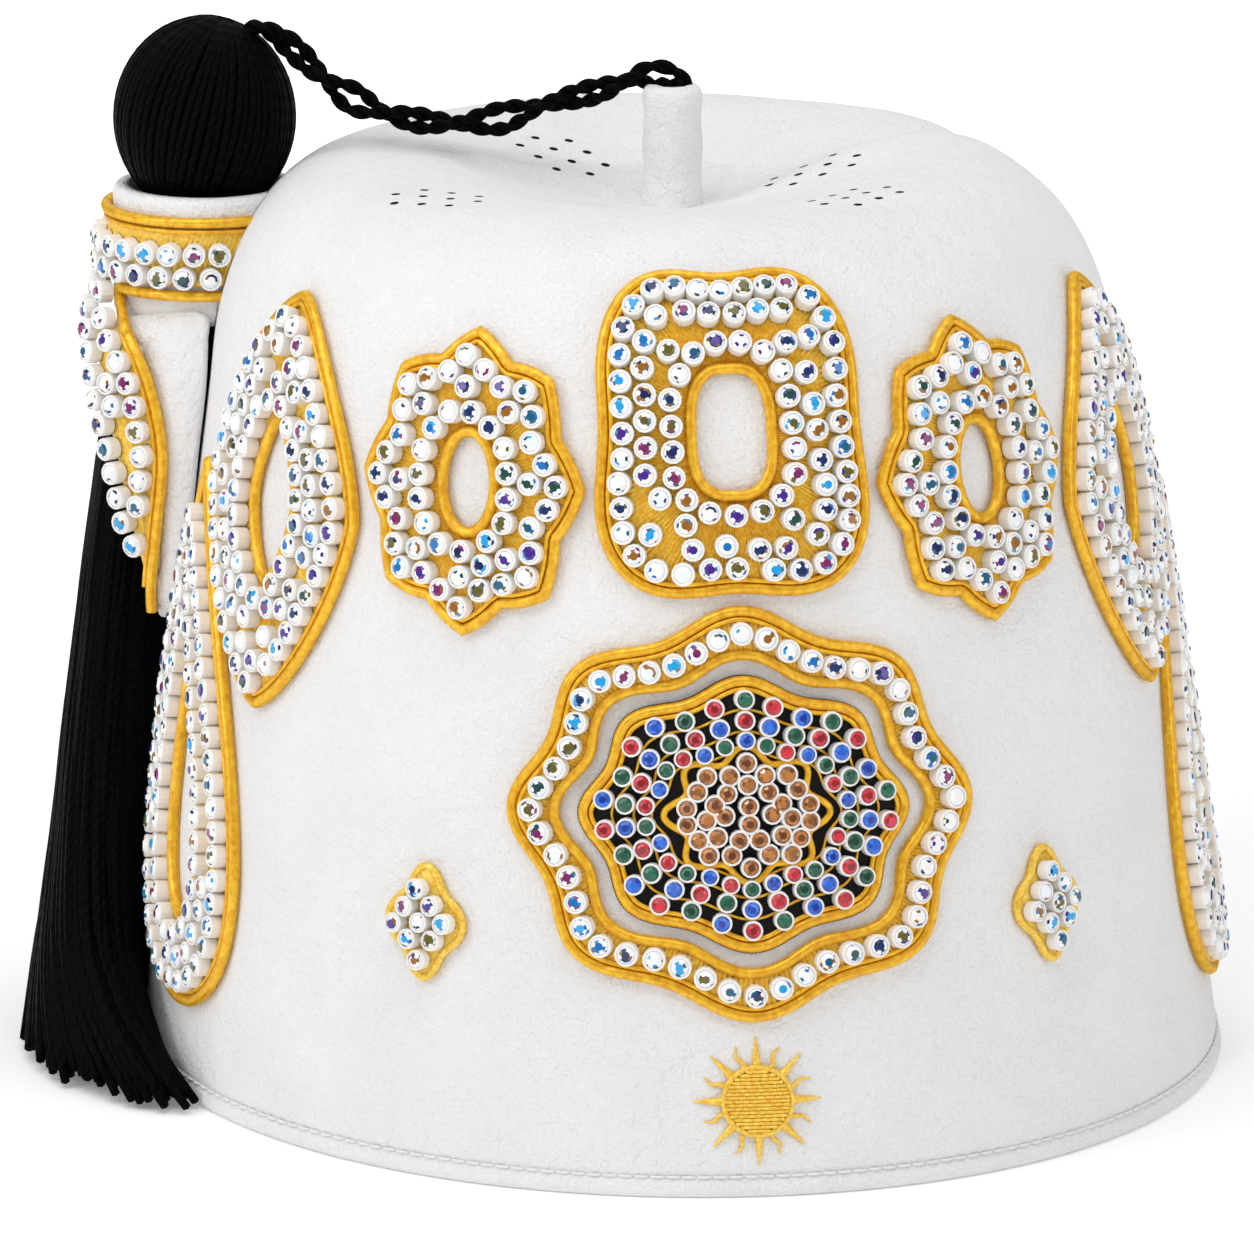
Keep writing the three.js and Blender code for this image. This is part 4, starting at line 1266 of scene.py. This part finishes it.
def beside_crown(reach, turn, z):
    """A point in the fringe: its place in the oval of the bundle at a height. Near the holder the
    oval draws in to the round neck."""
    thick, half, forward, hug = skirt_size(z)
    across = forward - half * reach * math.cos(turn)
    out = SKIRT_GAP + thick / 2 + (thick / 2 - STRAND_RADIUS) * reach * math.sin(turn)
    per_degree = (on_crown(wall_azimuth + 1, z)[0] - on_crown(wall_azimuth - 1, z)[0]).length / 2
    point, away = on_crown(wall_azimuth + across / per_degree, z)
    away = Vector((away.x, away.y, 0)).normalized()
    point += away * (out - hug * (across - forward) ** 2)
    point.z = z
    drawn_in = min(max((z - NECK_FOOT) / (HOLDER_BOTTOM - NECK_FOOT), 0), 1)
    along = Vector((-wall_away.y, wall_away.x, 0))
    inward = (NECK_RADIUS - STRAND_RADIUS) * reach
    in_neck = along * (-math.cos(turn) * inward) + wall_away * (math.sin(turn) * inward)
    return point.lerp(Vector((foot_x, foot_y, z)) + in_neck, drawn_in**2 * (3 - 2 * drawn_in))


STRAND_LAYERS = [(1.0, 110), (0.9, 96), (0.76, 60)]
STRAND_TOP = 124
draw = random.Random(90)
for layer, (reach, count) in enumerate(STRAND_LAYERS):
    fringe = bmesh.new()
    for strand in range(count):
        turn = math.tau * (strand + draw.uniform(-0.3, 0.3)) / count
        own_reach = reach * draw.uniform(0.97, 1.0)
        end = draw.uniform(0.6, 2.8) + STRAND_RADIUS
        phase = draw.uniform(0, math.tau)
        swing = draw.uniform(0.2, 0.7)
        laid = []
        for j in range(30):
            z = mix(STRAND_TOP, end, (j / 29))
            loose = min((STRAND_TOP - z) / 60, 1)
            sway = swing * loose * math.sin(phase + z / 17) / 20
            drawn = 0.02 * loose * (1 + math.sin(phase + z / 9))
            laid.append(beside_crown(own_reach * (1 - drawn), turn + sway, z))
        round_tube(fringe, laid, STRAND_RADIUS, 6, False, Vector((0.3, 1, 0)))
    nodes = ["tassel_skirt"] if layer == 0 else []
    finish_piece(fringe, f"fringe_layer_{layer}", [yarn_material], nodes)

# Holder
# A strap of white felt wraps the tassel's neck and is sewn to the crown's shoulder. Gold cord edges
# a band of gold satin on it, which is set with two rows of stones.
HOLDER_RADIUS = 14.8
HOLDER_TOP = 140
HOLDER_FELT = 2
rising_points = [point for i, point in enumerate(outline_points) if i <= 4000 * SHOULDER_END]
rising_heights = [z for _, z in rising_points]


def past_crown(point):
    """How far outside the crown's felt a point is, level with it."""
    i = min(bisect.bisect(rising_heights, point.z), len(rising_heights) - 1)
    reach = math.hypot(point.x - rim_middle - LEAN * point.z / CROWN_HEIGHT, point.y / OVAL)
    return reach - rising_points[i][0]


def holder_point(angle, radius, z):
    return Vector((foot_x + radius * math.cos(angle), foot_y + radius * math.sin(angle), z))


toward_crown = math.atan2(-foot_y / OVAL, rim_middle - foot_x)


def free_half_arc(radius, z, gap):
    """Half the angle that a ring round the neck keeps clear of the crown."""
    for step in range(360):
        away = math.pi * (1 - step / 360)
        if past_crown(holder_point(toward_crown + math.pi + away, radius, z)) >= gap:
            return away
    return 0.5


holder_section = [(HOLDER_RADIUS - HOLDER_FELT, HOLDER_BOTTOM)]
holder_section += [(HOLDER_RADIUS - 0.4, HOLDER_BOTTOM - 0.1), (HOLDER_RADIUS + 0.1, HOLDER_BOTTOM + 0.4)]
holder_section += [(HOLDER_RADIUS + 0.35, mix(HOLDER_BOTTOM + 1, HOLDER_TOP - 1, i / 8)) for i in range(9)]
holder_section += [(HOLDER_RADIUS + 0.1, HOLDER_TOP - 0.4), (HOLDER_RADIUS - 0.4, HOLDER_TOP + 0.1)]
holder_section += [(HOLDER_RADIUS - HOLDER_FELT, HOLDER_TOP)]
inner_heights = [mix(HOLDER_TOP - 2, HOLDER_BOTTOM + 2, i / 5) for i in range(6)]
holder_section += [(HOLDER_RADIUS - HOLDER_FELT, z) for z in inner_heights]
HOLDER_STEPS = 120
half_arcs = [free_half_arc(radius, z, 0.35) for radius, z in holder_section]


def holder_place(ring, side):
    radius, z = holder_section[side]
    half = half_arcs[side]
    angle = toward_crown + math.pi + mix(-half, half, ring / HOLDER_STEPS)
    dents = 0.15 * noise.noise(Vector((6 * math.cos(angle), 6 * math.sin(angle), z / 5)))
    return holder_point(angle, radius + dents, z) * MM


strap = bmesh.new()
rolled_tube(strap, HOLDER_STEPS, len(holder_section), holder_place, False)
finish_piece(strap, "holder_strap", [white_felt], ["tassel_holder"])


def neck_cord(shape, z, radius, reach, first=None, last=None):
    """Bullion cord round the holder between two angles, or else from crown to crown."""
    half = free_half_arc(reach, z, 0.1)
    first = toward_crown + math.pi - half if first is None else first
    last = toward_crown + math.pi + half if last is None else last
    rings = round((last - first) * reach / RIB_STEP)
    laid = [holder_point(mix(first, last, j / rings), reach, z) for j in range(rings + 1)]
    round_tube(shape, laid, radius, 8, ribs=CORD_RIBS)


CORD_REACH = HOLDER_RADIUS + 0.4 + CORD_RADIUS
LOWER_CORD_HEIGHT = 124.2
TONGUE_START = math.radians(204)
BEHIND_TONGUE = math.radians(170)
upper_cord = bmesh.new()
neck_cord(upper_cord, 136.4, CORD_RADIUS, CORD_REACH)
neck_cord(upper_cord, 134.9, INNER_CORD_RADIUS, HOLDER_RADIUS + 1.5)
finish_piece(upper_cord, "holder_upper_bullion", [gold_cord], ["holder_upper_cord"])
lower_cord = bmesh.new()
neck_cord(lower_cord, LOWER_CORD_HEIGHT, CORD_RADIUS, CORD_REACH, first=TONGUE_START)
neck_cord(lower_cord, LOWER_CORD_HEIGHT, CORD_RADIUS, CORD_REACH, last=BEHIND_TONGUE)
finish_piece(lower_cord, "holder_lower_bullion", [gold_cord], ["holder_lower_cord"])

BAND_LOW = 125.6
BAND_HIGH = 135.2
band_of_satin = bmesh.new()
satin_rings = 170
satin_section = [(0.5, BAND_LOW), (1.25, BAND_LOW + 0.3), (1.45, 130.5)]
satin_section += [(1.25, BAND_HIGH - 0.3), (0.5, BAND_HIGH)]
satin_arcs = [free_half_arc(HOLDER_RADIUS + lift, z, 0.3) for lift, z in satin_section]


def satin_place(ring, side):
    lift, z = satin_section[side]
    angle = toward_crown + math.pi + mix(-satin_arcs[side], satin_arcs[side], ring / satin_rings)
    rib = 0.15 if ring % 2 and lift > 1 else 0
    return holder_point(angle, HOLDER_RADIUS + lift - rib, z) * MM


rolled_tube(band_of_satin, satin_rings, len(satin_section), satin_place, False)
finish_piece(band_of_satin, "holder_satin", [gold_satin], [], False)

draw = random.Random(100)
holder_stones = bmesh.new()
reach = HOLDER_RADIUS + CUP_LIFT + 0.1
for z in (127.4, 131.3):
    half = free_half_arc(reach, z, 0.9)
    count = int(2 * half * reach / STONE_WIDTH)
    for i in range(count):
        angle = toward_crown + math.pi + mix(-half, half, (i + 0.5) / count)
        outward = Vector((math.cos(angle), math.sin(angle), 0))

        def around(spot, lift):
            return holder_point(angle, reach, z), outward

        set_stones(holder_stones, around, [Vector((0, 0))], clear_painted_reflections, draw)
finish_stones(holder_stones, "holder_crystals", ["holder_stones"])

# Tongue
# A pointed leaf of white felt that hangs from the holder beside the crown. A gold cord edges its
# satin stitch, which is set with stones.
TONGUE_SPINE = [Vector((-87.2, 15.6, 120.4)), Vector((-87.6, 7.8, 98)), Vector((-83.4, 9.6, 71.4))]
TONGUE_FACING = Vector((-0.62, -0.78, 0)).normalized()
TONGUE_CURL = 0.02
TONGUE_LENGTH = 49.5
TONGUE_ROWS = [
    {"down": 0, "left": -8.6, "cord": -1.2, "right": 9.4},
    {"down": 0.04, "left": -8.5, "cord": -0.2, "right": 11.6},
    {"down": 0.24, "left": -7.6, "cord": 4, "right": 11.2},
    {"down": 0.47, "left": -5.2, "cord": 5.5, "right": 9.2},
    {"down": 0.7, "left": -3.6, "cord": 3.1, "right": 6.8},
    {"down": 0.9, "left": -1.6, "cord": 0.3, "right": 4},
    {"down": 1, "left": -0.8, "cord": -0.4, "right": 0.8},
]


def tongue_lay(spot, lift):
    """A point of the leaf, from millimetres across it and down it."""
    down = min(max(-spot.y / TONGUE_LENGTH, -0.12), 1.1)
    a, b, c = TONGUE_SPINE
    point = a * (1 - down) ** 2 + b * 2 * down * (1 - down) + c * down**2
    along = ((b - a) * (1 - down) + (c - b) * down).normalized()
    facing = (TONGUE_FACING - along * along.dot(TONGUE_FACING)).normalized()
    side = facing.cross(along)
    bent = facing + side * 2 * TONGUE_CURL * spot.x
    place = point + side * spot.x + facing * (lift - TONGUE_CURL * spot.x**2)
    return place + Vector((rim_middle, 0, 0)), bent.normalized()


def tongue_edge(key, margin, start, end):
    """One edge of the leaf from its top down, moved inwards by a margin."""
    points = []
    for row in TONGUE_ROWS:
        inward = margin if key == "left" else -margin
        points.append(Vector((row[key] + inward, -row["down"] * TONGUE_LENGTH)))
    line = smooth_route(points, 0.5)
    return [point for point in line if start <= -point.y / TONGUE_LENGTH <= end]


def tongue_middle(y):
    """Halfway between the leaf's left edge and its cord, at a height on it."""
    down = -y / TONGUE_LENGTH
    for low, high in zip(TONGUE_ROWS, TONGUE_ROWS[1:]):
        if down <= high["down"]:
            t = (down - low["down"]) / (high["down"] - low["down"])
            return mix(low["left"] + low["cord"], high["left"] + high["cord"], t) / 2
    return -0.6


def tongue_outline(key, margin, start, end, step=0.6):
    """The closed line down one edge and up the left one, with rounded corners."""
    line = tongue_edge(key, margin, start, end) + tongue_edge("left", margin, start, end)[::-1]
    line = respaced(line, step)
    count = len(line)
    return [(line[i - 1] + line[i] * 2 + line[(i + 1) % count]) / 4 for i in range(count)]


def leaf_slab(shape, outer, sections, sink=0):
    """A slab with that outline. Each point of it is drawn in towards the middle at its height. Its
    top end sinks into the strap by a given depth."""
    middle = sum(outer, Vector((0, 0))) / len(outer)
    cores = []
    for spot in outer:
        level = [other.x for other in outer if abs(other.y - spot.y) < 1.2]
        cores.append(Vector(((min(level) + max(level)) / 2, mix(middle.y, spot.y, 0.75))))

    def place(ring, side):
        reach, lift = sections[side]
        i = ring % len(outer)
        spot = cores[i].lerp(outer[i], reach)
        sewn = max(1 + spot.y / (0.1 * TONGUE_LENGTH), 0)
        return tongue_lay(spot, lift - sink * sewn)[0] * MM

    rolled_tube(shape, len(outer), len(sections), place, True)


leaf_edge = tongue_outline("right", 0, 0, 1)
leaf = bmesh.new()
leaf_under = [(0.02, 0.0), (0.5, 0.0), (0.97, 0.0), (1, 0.4)]
leaf_over = [(1, 1.3), (0.97, 1.7), (0.5, 1.8), (0.02, 1.8)]
leaf_slab(leaf, leaf_edge, leaf_under + leaf_over, sink=1.5)
finish_piece(leaf, "tongue_felt", [white_felt], ["tongue"])
field_edge = tongue_outline("cord", 0.5, 0.02, 0.95)
field = bmesh.new()
leaf_slab(field, field_edge, [(0.02, 1.85), (0.97, 1.85), (1, 2.4), (0.9, 2.75), (0.5, 2.85), (0.02, 2.85)])
finish_piece(field, "tongue_satin", [gold_satin], ["tongue_pad"])
leaf_cords = bmesh.new()
cord_start = [holder_point(TONGUE_START, CORD_REACH, z) for z in (LOWER_CORD_HEIGHT, 122.6)]
cord_line = tongue_edge("cord", CORD_RADIUS, 0.03, 1.0)
leaf_route = cord_start + [tongue_lay(spot, 2.9)[0] for spot in cord_line[::4]]
leaf_route = smooth_route(leaf_route, RIB_STEP)
round_tube(leaf_cords, leaf_route, CORD_RADIUS, 8, False, TONGUE_FACING, ribs=CORD_RIBS)
thin_line = tongue_edge("cord", CORD_RADIUS * 2 + 0.3, 0.06, 0.9)
thin_route = smooth_route([tongue_lay(spot, 3.1)[0] for spot in thin_line[::4]], RIB_STEP)
round_tube(leaf_cords, thin_route, INNER_CORD_RADIUS, 8, False, TONGUE_FACING, ribs=CORD_RIBS)
finish_piece(leaf_cords, "tongue_gold_cords", [gold_cord], [])
leaf_stones = bmesh.new()
draw = random.Random(110)
stone_edge = []
for spot in tongue_outline("cord", 0, 0.0, 0.93, 0.5):
    y = spot.y + (1.6 if spot.y > -3 else 0)
    aside = 2.1 if spot.x > tongue_middle(y) else 1.5
    stone_edge.append(Vector((spot.x - aside, y)))
leaf_spots = [spot for spot in stone_spots(stone_edge, None, 0) if spot.y > -0.9 * TONGUE_LENGTH]
set_stones(leaf_stones, tongue_lay, leaf_spots, clear_painted_reflections, draw, lift=2.95)
BRIDGE_STONES = [(171, 123.4, 16.6), (184, 123.4, 16.8), (197, 123.2, 17)]
BRIDGE_STONES += [(178, 120, 18), (190, 119.9, 18.6)]
for degrees, z, reach in BRIDGE_STONES:
    angle = math.radians(degrees)
    outward = Vector((math.cos(angle), math.sin(angle), 0))
    spot = holder_point(angle, reach, z)
    set_stones(leaf_stones, lambda _, lift: (spot, outward), [Vector((0, 0))], clear_painted_reflections, draw)
finish_stones(leaf_stones, "tongue_crystals", ["tongue_stones"])

bpy.context.view_layer.update()
